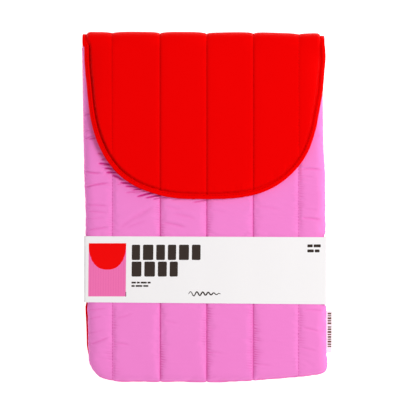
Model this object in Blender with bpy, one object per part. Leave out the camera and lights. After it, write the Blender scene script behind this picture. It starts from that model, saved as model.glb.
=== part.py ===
"""Quilted laptop sleeve with a fold-over flap, a paper belly band and a side tag.

The sleeve lies flat on its back. +X is to its right, +Y towards the fold of the flap, +Z out of
the front. The world origin is the centre of the footprint on the table. Lengths are millimetres,
measured from the sleeve's centre line; add_empty and add_piece turn them into metres.
Each fabric panel is a stack: outer shell, wadding, lining.
"""

import math
from bisect import bisect_left
from collections import namedtuple
from itertools import accumulate

import bmesh
import bpy
from mathutils import Vector

MM = 0.001

# ---------------------------------------------------------------- driving dimensions
WIDTH = 252.0            # side seam to side seam
HEIGHT = 367.0           # bottom seam to the outer face of the fold
POCKET = 16.4            # free gap between the two linings
PANEL = 5.6              # thickness of one quilted panel at its crown
SHELL = 0.6              # outer fabric
LINING = 0.6             # inner fabric
LAYER_GAP = 0.3          # clearance between neighbouring solids
CORNER = 20.0            # bottom corners, in plan
CORNER_REACH = 104.0     # only what lies further out than this follows the bottom corners
MID_Y = -20.0            # extra row of vertices across the body

GROOVE = 2.2             # depth of a quilting line below the crown
GROOVE_HALF = 14.0       # a crown reaches full height this far from its quilting line
GROOVE_SHOULDER = 5.5    # station between a quilting line and its crown
GROOVE_POWER = 2.35      # how sharply the fabric dips towards the line
COLUMN_MARGIN = 2.5      # stations nearer than this to a panel's side edge are left out
PITCH = 48.6             # quilting line to quilting line
SEAMS = [i * PITCH for i in (-2, -1, 0, 1, 2)]

THREAD_WIDTH = 0.8
THREAD_LOW, THREAD_HIGH = 0.3, 0.8         # thread's faces above the channel line
BODY_THREAD_MARGIN = 0.5                   # thread end to panel end
SPINE_THREAD_MARGIN = 0.2
FLAP_THREAD_MARGIN = 0.3
FLAP_THREAD_STOP = 2.0                     # thread end to the flap binding, measured along Y
FLAP_THREAD_STOP_OUTER = 7.5               # the same for the outermost lines
OUTERMOST_FROM = 60.0                      # quilting lines beyond this are the outermost

MOUTH_Y = 171.3          # top edge of the front panel
MOUTH_TAPE = 4.5         # width of the tape that binds it
MOUTH_TAPE_INSET = 0.3   # from each face of the panel to the tape's face

SEAM_TAPE_TOP_Y = 160.0
SEAM_TAPE_WIDTH = 6.0
SEAM_TAPE_T = 1.2

BAND_T = 0.35            # card of the belly band
BAND_OVERLAP = 20.0      # glued overlap on the back
BAND_GLUE = 0.2
BAND_TOP_Y = -30.8
BAND_HEIGHT = 70.0
BAND_STEPS = 8           # segments in each half-round side
TUCK_START, TUCK_END = 8.0, 1.5            # ramp of the tucked end, beyond the overlap
GLUE_INSET_X, GLUE_INSET_Y = 2.0, 3.0      # adhesive to the edges of the overlap
GLUE_CLEARANCE = 0.03                      # adhesive to the card, above and below

FLAP_GAP = 2.6           # front crown to flap lining, filled by the closure patches
FLAP_TIP_Y = 8.9         # lowest point of the flap
FLAP_ROOT_Y = 180.8      # where the U outline starts
FLAP_POWER_X, FLAP_POWER_Y = 2.5, 3.0      # exponents of the U outline
FLAP_SAMPLES = 2000      # samples used to measure along the U
FLAP_BLANK_MARGIN_X = 6.0                  # untrimmed flap layers reach past the outline
FLAP_BLANK_MARGIN_Y = 5.0
CUTTER_STATIONS, BINDING_STATIONS = 36, 34
CUTTER_MARGIN_Z = 6.0
CUTTER_ROOT_MARGIN = 1.0                   # outline points stop this far short of the root
CUTTER_OVERRUN = 9.0                       # then it runs straight on past the root

BINDING = 5.3            # width kept for the tape round the flap
BINDING_HALF_H = 2.2
BINDING_CHAMFER = 1.3
BINDING_MID = 2.5        # its mid-height above the flap lining's inner face
SPINE_BINDING_IN, SPINE_BINDING_OUT = 0.5, 0.7    # its faces inside the fold strip's faces

BEND_OUTER = 7.8         # outer radius of each of the fold's two bends
BEND_REACH = 1.9         # how far each rigid layer stack runs into a bend

PATCH_W, PATCH_H, PATCH_T = 64.0, 20.0, 0.85
PATCH_Y = 30.0
PATCH_CORNER = 3.0

CARE_X, CARE_T = -113.0, 0.4
CARE_Y = (96.0, 126.0)
CARE_HALF_H = 5.0

TAG_TOP_Y, TAG_LENGTH, TAG_T = -108.2, 44.1, 0.7
TAG_OUT = 134.0          # its outer edge
TAG_IN_GAP = 1.1         # side seam to its inner edge
TAG_PIVOT_GAP = 0.2      # side seam to its pivot
TAG_CORNER = 0.25

# ---------------------------------------------------------------- derived places
HALF_GAP = LAYER_GAP / 2
BODY_R = PANEL + POCKET / 2                      # half the body's thickness; the sides are round
FLAT_HALF = WIDTH / 2 - BODY_R                   # where the flat part ends
Z_BACK = 2 * BAND_T + BAND_GLUE + LAYER_GAP      # crown of the back, above the band's overlap
Z_SEAM = Z_BACK + BODY_R                         # height of the side seam
Z_FRONT = Z_BACK + 2 * BODY_R                    # crown of the front panel
Z_FLAP = Z_FRONT + FLAP_GAP                      # inner face of the flap lining
Z_TOP = Z_FLAP + PANEL                           # flap crown
Y_TOP = HEIGHT / 2
Y_BOTTOM = -HEIGHT / 2
Y_BEND = Y_TOP - BEND_OUTER                      # centre of both bends
Y_STACK = Y_BEND + BEND_REACH                    # end of the back panel and root of the flap
Y_SPINE_IN = Y_TOP - PANEL                       # inner face of the fold strip
Z_LOWER_BEND = Z_BACK + BEND_OUTER
Z_UPPER_BEND = Z_TOP - BEND_OUTER
SPINE_Z = (Z_LOWER_BEND - BEND_REACH, Z_UPPER_BEND + BEND_REACH)
FRONT_END = MOUTH_Y - MOUTH_TAPE - LAYER_GAP     # top of the front layers, below the tape
BINDING_INNER_X = WIDTH / 2 - BINDING - HALF_GAP  # edge of the layers beside the binding
BAND_TOP_Z = Z_FRONT + LAYER_GAP + BAND_T
BAND_Y = (BAND_TOP_Y - BAND_HEIGHT, BAND_TOP_Y)

# The footprint runs from the band's left side to the tag's outer edge.
CENTRE_X = (FLAT_HALF + BAND_TOP_Z / 2 - TAG_OUT) / 2

# Each bend's hinge sits half the length of its mid-thickness arc from the bend's centre, in Y
# and in Z, so that the arc keeps its length.
HINGE = math.pi / 4 * (BEND_OUTER - PANEL / 2)
PIVOT_Y = Y_BEND + HINGE
LOWER_PIVOT_Z = Z_LOWER_BEND - HINGE
UPPER_PIVOT_Z = Z_UPPER_BEND + HINGE

SIDE_ANGLES = [math.radians(a) for a in (0, 22.5, 45, 67.5)]       # round the half-round sides
BOTTOM_ANGLES = [math.radians(a) for a in (0, 20, 40, 65, 90)]     # round the bottom
CORNER_ANGLES = SIDE_ANGLES + [math.radians(90)]                   # round the seam tape's corners

# Depths are measured inwards from the panel's outer face.
Layer = namedtuple("Layer", "name outer inner outer_grooved inner_grooved")
LAYERS = (
    Layer("shell", 0.0, SHELL, True, True),
    Layer("wadding", SHELL + LAYER_GAP, PANEL - LINING - LAYER_GAP, True, False),
    Layer("lining", PANEL - LINING, PANEL, False, False),
)

# name: (base colour, roughness)
MATERIALS = {
    "pink_nylon": ((0.90, 0.22, 0.62), 0.62),
    "red_nylon": ((0.88, 0.005, 0.008), 0.62),
    "red_lining": ((0.62, 0.006, 0.010), 0.55),
    "white_wadding": ((0.88, 0.88, 0.86), 0.95),
    "pink_thread": ((0.80, 0.16, 0.52), 0.6),
    "red_thread": ((0.70, 0.004, 0.006), 0.6),
    "red_binding": ((0.80, 0.005, 0.008), 0.6),
    "pink_binding": ((0.86, 0.20, 0.58), 0.6),
    "white_card": ((0.90, 0.88, 0.87), 0.55),
    "clear_adhesive": ((0.80, 0.78, 0.70), 0.3),
    "woven_label": ((0.88, 0.87, 0.84), 0.8),
    "hook_tape": ((0.62, 0.01, 0.015), 0.7),
    "loop_tape": ((0.84, 0.20, 0.58), 0.95),
}


# ---------------------------------------------------------------- scene, materials, objects
def clear_scene():
    for obj in list(bpy.data.objects):
        bpy.data.objects.remove(obj, do_unlink=True)


def make_materials():
    for name, (colour, roughness) in MATERIALS.items():
        mat = bpy.data.materials.new(name)
        mat.use_nodes = True
        shader = mat.node_tree.nodes["Principled BSDF"]
        shader.inputs["Base Color"].default_value = (*colour, 1.0)
        shader.inputs["Roughness"].default_value = roughness
        shader.inputs["Metallic"].default_value = 0.0


def add_empty(name, location, parent=None):
    obj = bpy.data.objects.new(name, None)
    bpy.context.scene.collection.objects.link(obj)
    obj.parent = parent
    obj.location = Vector(location) * MM
    return obj


def add_piece(name, bm, parent, material, smooth=True):
    """Turn a bmesh in sleeve millimetres into an object under its empty."""
    bmesh.ops.recalc_face_normals(bm, faces=bm.faces)
    offset = Vector((0, 0, 0))
    node = parent
    while node.parent:                           # the root frame carries the sleeve's coordinates
        offset += node.location
        node = node.parent
    for vert in bm.verts:
        vert.co = vert.co * MM - offset
    mesh = bpy.data.meshes.new(name)
    bm.to_mesh(mesh)
    bm.free()
    if smooth:
        mesh.shade_smooth()
        mesh.set_sharp_from_angle(angle=math.radians(35))
    mesh.materials.append(bpy.data.materials[material])
    obj = bpy.data.objects.new(name, mesh)
    bpy.context.scene.collection.objects.link(obj)
    obj.parent = parent
    return obj


# ---------------------------------------------------------------- generic solids
def add_quads(bm, grid):
    for j in range(len(grid) - 1):
        for i in range(len(grid[0]) - 1):
            bm.faces.new((grid[j][i], grid[j][i + 1], grid[j + 1][i + 1], grid[j + 1][i]))


def shell_solid(outer, inner):
    """Closed solid between two grids of points of the same size."""
    bm = bmesh.new()
    outer = [[bm.verts.new(p) for p in row] for row in outer]
    inner = [[bm.verts.new(p) for p in row] for row in inner]
    add_quads(bm, outer)
    add_quads(bm, [row[::-1] for row in inner])
    rows, columns = len(outer), len(outer[0])
    rim = [(0, i) for i in range(columns)]
    rim += [(j, columns - 1) for j in range(1, rows)]
    rim += [(rows - 1, i) for i in range(columns - 2, -1, -1)]
    rim += [(j, 0) for j in range(rows - 2, 0, -1)]
    for (j, i), (jn, i_n) in zip(rim, rim[1:] + rim[:1]):
        bm.faces.new((outer[j][i], inner[j][i], inner[jn][i_n], outer[jn][i_n]))
    return bm


def tube(sections):
    """Closed solid through a list of rings of points, with its two ends capped."""
    bm = bmesh.new()
    rings = [[bm.verts.new(p) for p in ring] for ring in sections]
    count = len(rings[0])
    for ring, following in zip(rings, rings[1:]):
        for i in range(count):
            k = (i + 1) % count
            bm.faces.new((ring[i], ring[k], following[k], following[i]))
    bm.faces.new(rings[0][::-1])
    bm.faces.new(rings[-1])
    return bm


def plate(x_range, y_range, z_range, corner=0.0, axis="Z"):
    """A flat piece whose outline corners, seen along axis, are rounded."""
    bm = bmesh.new()
    bmesh.ops.create_cube(bm, size=1.0)
    for vert in bm.verts:
        vert.co = Vector([
            low + (c + 0.5) * (high - low)
            for c, (low, high) in zip(vert.co, (x_range, y_range, z_range))
        ])
    if corner:
        k = "XYZ".index(axis)
        along = [
            e for e in bm.edges
            if abs(abs((e.verts[1].co - e.verts[0].co).normalized()[k]) - 1) < 1e-6
        ]
        bmesh.ops.bevel(bm, geom=along, offset=corner, segments=3, profile=0.5, affect="EDGES")
    return bm


def centred(middle, half):
    return (middle - half, middle + half)


# ---------------------------------------------------------------- quilting
def groove(x):
    """How far the quilted surface dips below the crown at x."""
    distance = min(abs(x - seam) for seam in SEAMS)
    if distance >= GROOVE_HALF:
        return 0.0
    return GROOVE * (1 - distance / GROOVE_HALF) ** GROOVE_POWER


def quilt_columns(limit):
    """Stations across a panel: five for each quilting line, kept inside the limit."""
    steps = (-GROOVE_HALF, -GROOVE_SHOULDER, 0.0, GROOVE_SHOULDER, GROOVE_HALF)
    xs = [seam + step for seam in SEAMS for step in steps]
    return [-limit] + [x for x in xs if abs(x) < limit - COLUMN_MARGIN] + [limit]


def body_profile(radius, flat):
    """(x, height) points across the body: the flat part between two quarter-round sides."""
    side = [
        (FLAT_HALF + radius * math.cos(a), radius * math.sin(a)) for a in SIDE_ANGLES
    ]
    return [(-x, z) for x, z in side] + flat + side[::-1]


def body_z(height, radius, side):
    """Z of a point of a body surface; side is +1 for the front and -1 for the back."""
    return Z_SEAM + side * (HALF_GAP + height * (radius - HALF_GAP) / radius)


def panel_surface(depth, grooved, columns, y_end, side):
    """One surface of a body panel, lying depth inside the outer face."""
    radius = BODY_R - depth
    corner = CORNER - depth
    half_width = FLAT_HALF + radius
    y_start = Y_BOTTOM + depth
    flat = [(x, radius - (groove(x) if grooved else 0.0)) for x in columns]
    profile = body_profile(radius, flat)
    # (y, share of the full height)
    stations = [(y_start + radius * (1 - math.cos(a)), math.sin(a)) for a in BOTTOM_ANGLES]
    stations += [(y_start + corner, 1.0), (MID_Y, 1.0), (y_end, 1.0)]
    grid = []
    for y, lift in stations:
        rise = y - y_start
        row_half = half_width
        if rise < corner:
            row_half += math.sqrt(max(0.0, corner ** 2 - (corner - rise) ** 2)) - corner
        squeeze = (row_half - CORNER_REACH) / (half_width - CORNER_REACH)
        row = []
        for x, height in profile:
            if abs(x) > CORNER_REACH:
                x = math.copysign(CORNER_REACH + squeeze * (abs(x) - CORNER_REACH), x)
            row.append(Vector((x, y, body_z(height * lift, radius, side))))
        grid.append(row)
    return grid


def panel_layer(layer, y_end, side):
    """One layer of the front or back panel."""
    columns = quilt_columns(FLAT_HALF) if layer.outer_grooved else [-FLAT_HALF, 0.0, FLAT_HALF]
    return shell_solid(
        panel_surface(layer.outer, layer.outer_grooved, columns, y_end, side),
        panel_surface(layer.inner, layer.inner_grooved, columns, y_end, side),
    )


def slab(layer, limit, place, ends):
    """A straight length of one layer; place(x, height, along) puts a point in space."""
    xs = quilt_columns(limit) if layer.outer_grooved else [-limit, limit]

    def surface(depth, grooved):
        heights = [PANEL - depth - (groove(x) if grooved else 0.0) for x in xs]
        return [[place(x, h, along) for x, h in zip(xs, heights)] for along in ends]

    return shell_solid(
        surface(layer.outer, layer.outer_grooved),
        surface(layer.inner, layer.inner_grooved),
    )


def layer_material(layer, shell_material):
    return {"shell": shell_material, "wadding": "white_wadding", "lining": "red_lining"}[layer.name]


def thread(x, path, outward):
    """A sewn line on a path of (y, z) points, lifted off the fabric on the outward (y, z) side."""
    sections = []
    for k, (y, z) in enumerate(path):
        y_before, z_before = path[max(k - 1, 0)]
        y_after, z_after = path[min(k + 1, len(path) - 1)]
        dy, dz = y_after - y_before, z_after - z_before
        length = math.hypot(dy, dz)
        ny, nz = -dz / length, dy / length
        if ny * outward[0] + nz * outward[1] < 0:
            ny, nz = -ny, -nz
        half = THREAD_WIDTH / 2
        corners = (
            (-half, THREAD_LOW), (half, THREAD_LOW), (half, THREAD_HIGH), (-half, THREAD_HIGH),
        )
        sections.append([Vector((x + u, y + ny * v, z + nz * v)) for u, v in corners])
    return tube(sections)


# ---------------------------------------------------------------- flap outline
def flap_curve(u):
    """Left half of the U outline: u is 0 at the root and 1 at the tip."""
    angle = u * math.pi / 2
    across = math.cos(angle) ** (2 / FLAP_POWER_X) if angle < math.pi / 2 - 1e-9 else 0.0
    down = math.sin(angle) ** (2 / FLAP_POWER_Y)
    return -WIDTH / 2 * across, FLAP_ROOT_Y - (FLAP_ROOT_Y - FLAP_TIP_Y) * down


def flap_point(t, inset=0.0):
    """Point of the U outline, moved inwards by inset.

    t runs from 0 at the left root, through 1 at the tip, to 2 at the right root.
    """
    u = t if t <= 1 else 2 - t
    x, y = flap_curve(u)
    if u > 1 - 1e-9:
        tx, ty = 1.0, 0.0
    elif u < 1e-9:
        tx, ty = 0.0, -1.0
    else:
        step = 1e-4
        xa, ya = flap_curve(max(u - step, 0))
        xb, yb = flap_curve(min(u + step, 1))
        length = math.hypot(xb - xa, yb - ya)
        tx, ty = (xb - xa) / length, (yb - ya) / length
    x, y = x - ty * inset, y + tx * inset        # the inside is left of the downward path
    return (x, y) if t <= 1 else (-x, y)


def flap_stations(count):
    """Values of t along the U, spaced evenly along its length."""
    fine = [2 * i / FLAP_SAMPLES for i in range(FLAP_SAMPLES + 1)]
    points = [flap_point(t) for t in fine]
    run = list(accumulate(map(math.dist, points, points[1:]), initial=0.0))
    return [
        fine[min(bisect_left(run, run[-1] * i / count), FLAP_SAMPLES)] for i in range(count + 1)
    ]


# ---------------------------------------------------------------- body
def build_panels(body):
    for side, name, shell_material, y_end in (
        (1, "front", "pink_nylon", FRONT_END),
        (-1, "back", "red_nylon", Y_STACK),
    ):
        for layer in LAYERS:
            add_piece(f"{name}_{layer.name}", panel_layer(layer, y_end, side), body,
                      layer_material(layer, shell_material))


def build_mouth_binding(body):
    """The tape that binds the mouth of the pocket follows the front panel's section."""
    faces = []
    for depth in (MOUTH_TAPE_INSET, PANEL - MOUTH_TAPE_INSET):
        radius = BODY_R - depth
        profile = body_profile(radius, [(-FLAT_HALF, radius), (FLAT_HALF, radius)])
        faces.append([
            [Vector((x, y, body_z(height, radius, 1))) for x, height in profile]
            for y in (MOUTH_Y - MOUTH_TAPE, MOUTH_Y)
        ])
    add_piece("mouth_binding", shell_solid(*faces), body, "pink_binding")


def build_seam_binding(body):
    """One U of tape runs inside the side and bottom seams."""
    outer_inset = PANEL + LAYER_GAP
    inner_inset = outer_inset + SEAM_TAPE_WIDTH
    z_low, z_high = centred(Z_SEAM, SEAM_TAPE_T / 2)
    edges = (
        (outer_inset, z_low), (inner_inset, z_low), (inner_inset, z_high), (outer_inset, z_high),
    )
    # (y of the centre of turning, angle turned)
    stations = [(SEAM_TAPE_TOP_Y, 0.0)] + [(Y_BOTTOM + CORNER, a) for a in CORNER_ANGLES]
    right = [
        [
            Vector((
                WIDTH / 2 - CORNER + (CORNER - inset) * math.cos(angle),
                y - (CORNER - inset) * math.sin(angle),
                z,
            ))
            for inset, z in edges
        ]
        for y, angle in stations
    ]
    left = [[Vector((-p.x, p.y, p.z)) for p in ring] for ring in right]
    add_piece("seam_binding", tube(left + right[::-1]), body, "red_binding", smooth=False)


def build_body_threads(body):
    """Quilting threads follow each channel line down and round to the bottom seam."""
    for side, name, y_end in ((1, "front", FRONT_END), (-1, "back", Y_STACK)):
        material = "pink_thread" if side == 1 else "red_thread"
        channel = BODY_R - GROOVE
        path = [(y_end - BODY_THREAD_MARGIN, body_z(channel, BODY_R, side))]
        path += [
            (Y_BOTTOM + BODY_R * (1 - math.cos(a)), body_z(channel * math.sin(a), BODY_R, side))
            for a in reversed(BOTTOM_ANGLES[1:])
        ]
        for k, seam in enumerate(SEAMS, 1):
            add_piece(f"{name}_stitch_{k}", thread(seam, path, outward=(-0.3, side)), body,
                      material, smooth=False)


def build_closure(body, flap):
    """A loop patch on the front and its hook patch under the flap."""
    for name, z, parent in (
        ("loop", Z_FRONT + LAYER_GAP, body),
        ("hook", Z_FLAP - LAYER_GAP - PATCH_T, flap),
    ):
        patch = plate(centred(0.0, PATCH_W / 2), centred(PATCH_Y, PATCH_H / 2),
                      (z, z + PATCH_T), PATCH_CORNER)
        add_piece(f"{name}_patch", patch, parent, f"{name}_tape", smooth=False)


def build_care_label(body):
    """A label standing inside the pocket, beside the left seam's tape."""
    label = plate(centred(CARE_X, CARE_T / 2), CARE_Y, centred(Z_SEAM, CARE_HALF_H))
    add_piece("care_label", label, body, "woven_label", smooth=False)


# ---------------------------------------------------------------- fold strip
def build_spine(spine):
    """The strip that carries the panel over the top of the pocket, between its two bends."""
    def place(x, height, along):
        return Vector((x, Y_SPINE_IN + height, along))

    for layer in LAYERS:
        add_piece(f"spine_{layer.name}", slab(layer, BINDING_INNER_X, place, SPINE_Z), spine,
                  layer_material(layer, "red_nylon"))

    for sign, name in ((-1, "left"), (1, "right")):
        x_range = centred(sign * (WIDTH - BINDING) / 2, BINDING / 2 - HALF_GAP)
        y_range = (Y_SPINE_IN + SPINE_BINDING_IN, Y_TOP - SPINE_BINDING_OUT)
        add_piece(f"spine_binding_{name}", plate(x_range, y_range, SPINE_Z, BINDING_CHAMFER),
                  spine, "red_binding")

    path = [
        (Y_TOP - GROOVE, SPINE_Z[0] + SPINE_THREAD_MARGIN),
        (Y_TOP - GROOVE, SPINE_Z[1] - SPINE_THREAD_MARGIN),
    ]
    for k, seam in enumerate(SEAMS, 1):
        add_piece(f"spine_stitch_{k}", thread(seam, path, outward=(1, 0)), spine,
                  "red_thread", smooth=False)


# ---------------------------------------------------------------- flap
def build_flap_cutter(flap):
    """A hidden U-shaped block that trims the flap layers to the inside of the binding."""
    points = [flap_point(t, BINDING + HALF_GAP) for t in flap_stations(CUTTER_STATIONS)]
    points = [p for p in points if p[1] < Y_STACK - CUTTER_ROOT_MARGIN]
    y_end = Y_STACK + CUTTER_OVERRUN
    points = [(points[0][0], y_end)] + points + [(points[-1][0], y_end)]
    levels = (Z_FLAP - CUTTER_MARGIN_Z, Z_TOP + CUTTER_MARGIN_Z)
    block = tube([[Vector((x, y, z)) for x, y in points] for z in levels])
    cutter = add_piece("flap_outline_cutter", block, flap, "red_nylon", smooth=False)
    cutter.hide_render = True
    cutter.display_type = "WIRE"
    return cutter


def build_flap_layers(flap):
    """Lengths of quilting trimmed to the U outline."""
    def place(x, height, along):
        return Vector((x, along, Z_FLAP + height))

    cutter = build_flap_cutter(flap)
    limit = WIDTH / 2 + FLAP_BLANK_MARGIN_X
    ends = (FLAP_TIP_Y - FLAP_BLANK_MARGIN_Y, Y_STACK)
    for layer in LAYERS:
        obj = add_piece(f"flap_{layer.name}", slab(layer, limit, place, ends), flap,
                        layer_material(layer, "red_nylon"))
        cut = obj.modifiers.new("outline", "BOOLEAN")
        cut.operation = "INTERSECT"
        cut.solver = "EXACT"
        cut.object = cutter


def build_flap_binding(flap):
    """The tape that binds the flap's edge: a chamfered section swept along the U."""
    side, top = BINDING / 2 - HALF_GAP, BINDING_HALF_H
    side_in, top_in = side - BINDING_CHAMFER, top - BINDING_CHAMFER
    section = (
        (-side, -top_in), (-side, top_in), (-side_in, top), (side_in, top),
        (side, top_in), (side, -top_in), (side_in, -top), (-side_in, -top),
    )
    rings = []
    for t in flap_stations(BINDING_STATIONS):
        ring = []
        for u, v in section:
            x, y = flap_point(t, BINDING / 2 + u)
            ring.append(Vector((x, min(y, Y_STACK), Z_FLAP + BINDING_MID + v)))
        rings.append(ring)
    add_piece("flap_binding", tube(rings), flap, "red_binding")


def build_flap_threads(flap):
    """Quilting threads of the flap stop short of its binding."""
    z = Z_TOP - GROOVE
    for k, seam in enumerate(SEAMS, 1):
        across = abs(seam) / (WIDTH / 2)
        down = (1 - across ** FLAP_POWER_X) ** (1 / FLAP_POWER_Y)
        outline_y = FLAP_ROOT_Y - down * (FLAP_ROOT_Y - FLAP_TIP_Y)
        stop = FLAP_THREAD_STOP if abs(seam) < OUTERMOST_FROM else FLAP_THREAD_STOP_OUTER
        path = [(Y_STACK - FLAP_THREAD_MARGIN, z), (outline_y + BINDING + stop, z)]
        add_piece(f"flap_stitch_{k}", thread(seam, path, outward=(0, 1)), flap,
                  "red_thread", smooth=False)


# ---------------------------------------------------------------- belly band and tag
def band_line():
    """Middle line of the card as (x, z) points.

    It starts in the overlap on the back, goes up the left side, over the front and down the
    right side, and its end is tucked between its start and the body.
    """
    z_mid = BAND_TOP_Z / 2
    radius = z_mid - BAND_T / 2
    z_low, z_high = BAND_T / 2, BAND_TOP_Z - BAND_T / 2
    z_tuck = BAND_T + BAND_GLUE + BAND_T / 2
    half = BAND_OVERLAP / 2
    angles = [math.pi * i / BAND_STEPS for i in range(1, BAND_STEPS)]

    def round_side(sign):
        return [
            (sign * (FLAT_HALF + radius * math.sin(a)), z_mid + sign * radius * math.cos(a))
            for a in angles
        ]

    line = [(half, z_low), (-FLAT_HALF, z_low), *round_side(-1)]
    line += [(-FLAT_HALF, z_high), (FLAT_HALF, z_high), *round_side(1)]
    line += [(FLAT_HALF, z_low), (half + TUCK_START, z_low)]
    line += [(half + TUCK_END, z_tuck), (-half, z_tuck)]
    return [Vector(p) for p in line]


def build_band(band):
    """One strip of card round the body, glued on the back."""
    line = band_line()
    directions = [(b - a).normalized() for a, b in zip(line, line[1:])]
    outer, inner = [], []
    for point, before, after in zip(line, directions[:1] + directions,
                                    directions + directions[-1:]):
        along = (before + after).normalized()
        reach = BAND_T / 2 / along.dot(before)   # mitre: keeps the card's thickness at a corner
        offset = Vector((-along.y, along.x)) * reach
        outer.append(point + offset)
        inner.append(point - offset)
    faces = [[[Vector((p.x, y, p.y)) for p in side] for y in BAND_Y] for side in (outer, inner)]
    add_piece("belly_band", shell_solid(*faces), band, "white_card")

    adhesive = plate(
        centred(0.0, BAND_OVERLAP / 2 - GLUE_INSET_X),
        (BAND_Y[0] + GLUE_INSET_Y, BAND_Y[1] - GLUE_INSET_Y),
        (BAND_T + GLUE_CLEARANCE, BAND_T + BAND_GLUE - GLUE_CLEARANCE),
    )
    add_piece("band_adhesive", adhesive, band, "clear_adhesive", smooth=False)


def build_tag(tag):
    """A woven label that sticks out of the right seam."""
    label = plate(
        (WIDTH / 2 + TAG_IN_GAP, TAG_OUT),
        (TAG_TOP_Y - TAG_LENGTH, TAG_TOP_Y),
        centred(Z_SEAM, TAG_T / 2),
        TAG_CORNER,
        axis="Y",
    )
    add_piece("side_tag", label, tag, "woven_label", smooth=False)


# ---------------------------------------------------------------- build
def build_sleeve():
    frame = add_empty("sleeve_frame", (CENTRE_X, 0, 0))
    body = add_empty("body_frame", (0, 0, 0), frame)
    spine = add_empty("spine_pivot", (0, PIVOT_Y, LOWER_PIVOT_Z), frame)
    flap = add_empty("flap_pivot", (0, 0, UPPER_PIVOT_Z - LOWER_PIVOT_Z), spine)
    band = add_empty("band_slide", (0, BAND_TOP_Y, Z_SEAM), frame)
    tag = add_empty("tag_pivot", (WIDTH / 2 + TAG_PIVOT_GAP, TAG_TOP_Y, Z_SEAM), frame)

    build_panels(body)
    build_mouth_binding(body)
    build_seam_binding(body)
    build_body_threads(body)
    build_closure(body, flap)
    build_care_label(body)
    build_spine(spine)
    build_flap_layers(flap)
    build_flap_binding(flap)
    build_flap_threads(flap)
    build_band(band)
    build_tag(tag)


clear_scene()
make_materials()
build_sleeve()
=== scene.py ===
"""A quilted cloth sleeve lying on its back, with a printed card band round its body.

The front panel is pink and faces +z. The red back panel folds over the +y end and comes
forward as a rounded flap. x runs across (left is -x), the bottom edge is at -y.
Shapes are drawn in mm with x from the sleeve's centre line; make_object turns them to metres.
"""
import math

import bmesh
import bpy
import numpy as np
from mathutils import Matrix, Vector


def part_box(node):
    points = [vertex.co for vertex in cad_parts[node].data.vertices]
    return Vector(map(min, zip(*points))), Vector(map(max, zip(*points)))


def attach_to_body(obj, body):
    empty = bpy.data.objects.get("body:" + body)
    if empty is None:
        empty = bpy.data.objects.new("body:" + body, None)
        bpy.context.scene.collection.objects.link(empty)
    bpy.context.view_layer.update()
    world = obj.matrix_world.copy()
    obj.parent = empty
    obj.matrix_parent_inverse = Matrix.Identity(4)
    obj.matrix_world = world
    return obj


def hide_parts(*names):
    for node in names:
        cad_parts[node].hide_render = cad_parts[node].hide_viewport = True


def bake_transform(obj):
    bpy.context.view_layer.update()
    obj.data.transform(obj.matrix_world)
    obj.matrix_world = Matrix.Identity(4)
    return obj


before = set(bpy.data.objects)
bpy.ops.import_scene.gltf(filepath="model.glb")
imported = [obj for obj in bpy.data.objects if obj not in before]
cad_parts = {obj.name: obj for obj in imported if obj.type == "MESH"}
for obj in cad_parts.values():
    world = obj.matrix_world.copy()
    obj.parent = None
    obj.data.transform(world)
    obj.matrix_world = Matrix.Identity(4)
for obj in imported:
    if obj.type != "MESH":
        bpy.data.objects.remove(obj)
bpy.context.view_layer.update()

MM = 0.001
COLLECTION = bpy.context.scene.collection


# ================================================================ sizes from the CAD pieces (mm)
def span(piece):
    lo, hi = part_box(piece)
    return np.array(lo) / MM, np.array(hi) / MM


FRONT_LO, FRONT_HI = span("front_shell")
X_CENTRE = (FRONT_LO[0] + FRONT_HI[0]) / 2
Z_FRONT = FRONT_HI[2]
Z_BACK = span("back_shell")[0][2]
Z_SEAM = (span("back_shell")[1][2] + FRONT_LO[2]) / 2   # height of the side seam
HALF = Z_FRONT - Z_SEAM                            # half the body's thickness
Z_FLAP, Z_TOP = span("flap_lining")[0][2], span("flap_shell")[1][2]
PANEL = Z_TOP - Z_FLAP                             # thickness of one quilted panel
SHELL = PANEL - 0.6                                # shell and wadding; the rest is lining
LINING_OUT, LINING_IN = SHELL + 0.12, PANEL - 0.05  # depths of the lining's two faces
Y_TOP = span("spine_shell")[1][1]
MOUTH_Y = span("mouth_binding")[1][1]
FLAP_TIP = span("flap_binding")[0][1]
BAND_LO, BAND_HI = span("belly_band")
TAG_LO, TAG_HI = span("side_tag")

# the quilting lines' x; each is shifted a little from the CAD stitch it stands for
SEAM_SHIFT = (0.7, 1.7, 1.7, 1.7, 0.7)
SEAMS = np.array([
    sum(side[0] for side in span(f"front_stitch_{k}")) / 2 - X_CENTRE + shift
    for k, shift in enumerate(SEAM_SHIFT, 1)
])

# "run" is the distance along the red panel's outer face; 0 is where the first bend starts
BEND_R = 7.8
Y_BEND = Y_TOP - BEND_R
Z_BEND_1, Z_BEND_2 = Z_BACK + BEND_R, Z_TOP - BEND_R
ARC = BEND_R * math.pi / 2
SPINE = Z_BEND_2 - Z_BEND_1
RUN_MID = ARC + SPINE / 2
RUN_BEND_2 = ARC + SPINE
RUN_END = 2 * ARC + SPINE                          # where the flap starts
FOLD_L, FOLD_R = -123.4, 120.2                     # ends of the quilted part on the fold
Y_TRAY = Y_BEND - 9.0                              # the back's curled sides start to open here

Y_LOW = -183.6                                     # the bottom edge's lowest point
CORNER_L, CORNER_POWER = 16.0, 3.4                 # left corner radius, right corner power
FULL = 3.1                                         # above 2, sides are fuller than a half round
FRONT_TOP = MOUTH_Y - 3.0
FLAP_X = -1.0                                      # the flap sits a little left of the body
BINDING_W = 4.9
BINDING_OUT, BINDING_DEPTH = 2.0, 2.9              # tape's middle: outside the quilt, below it
PATCH_X, PATCH_Y, PATCH_W, PATCH_H = 0.0, 30.0, 64.0, 20.0

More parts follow.
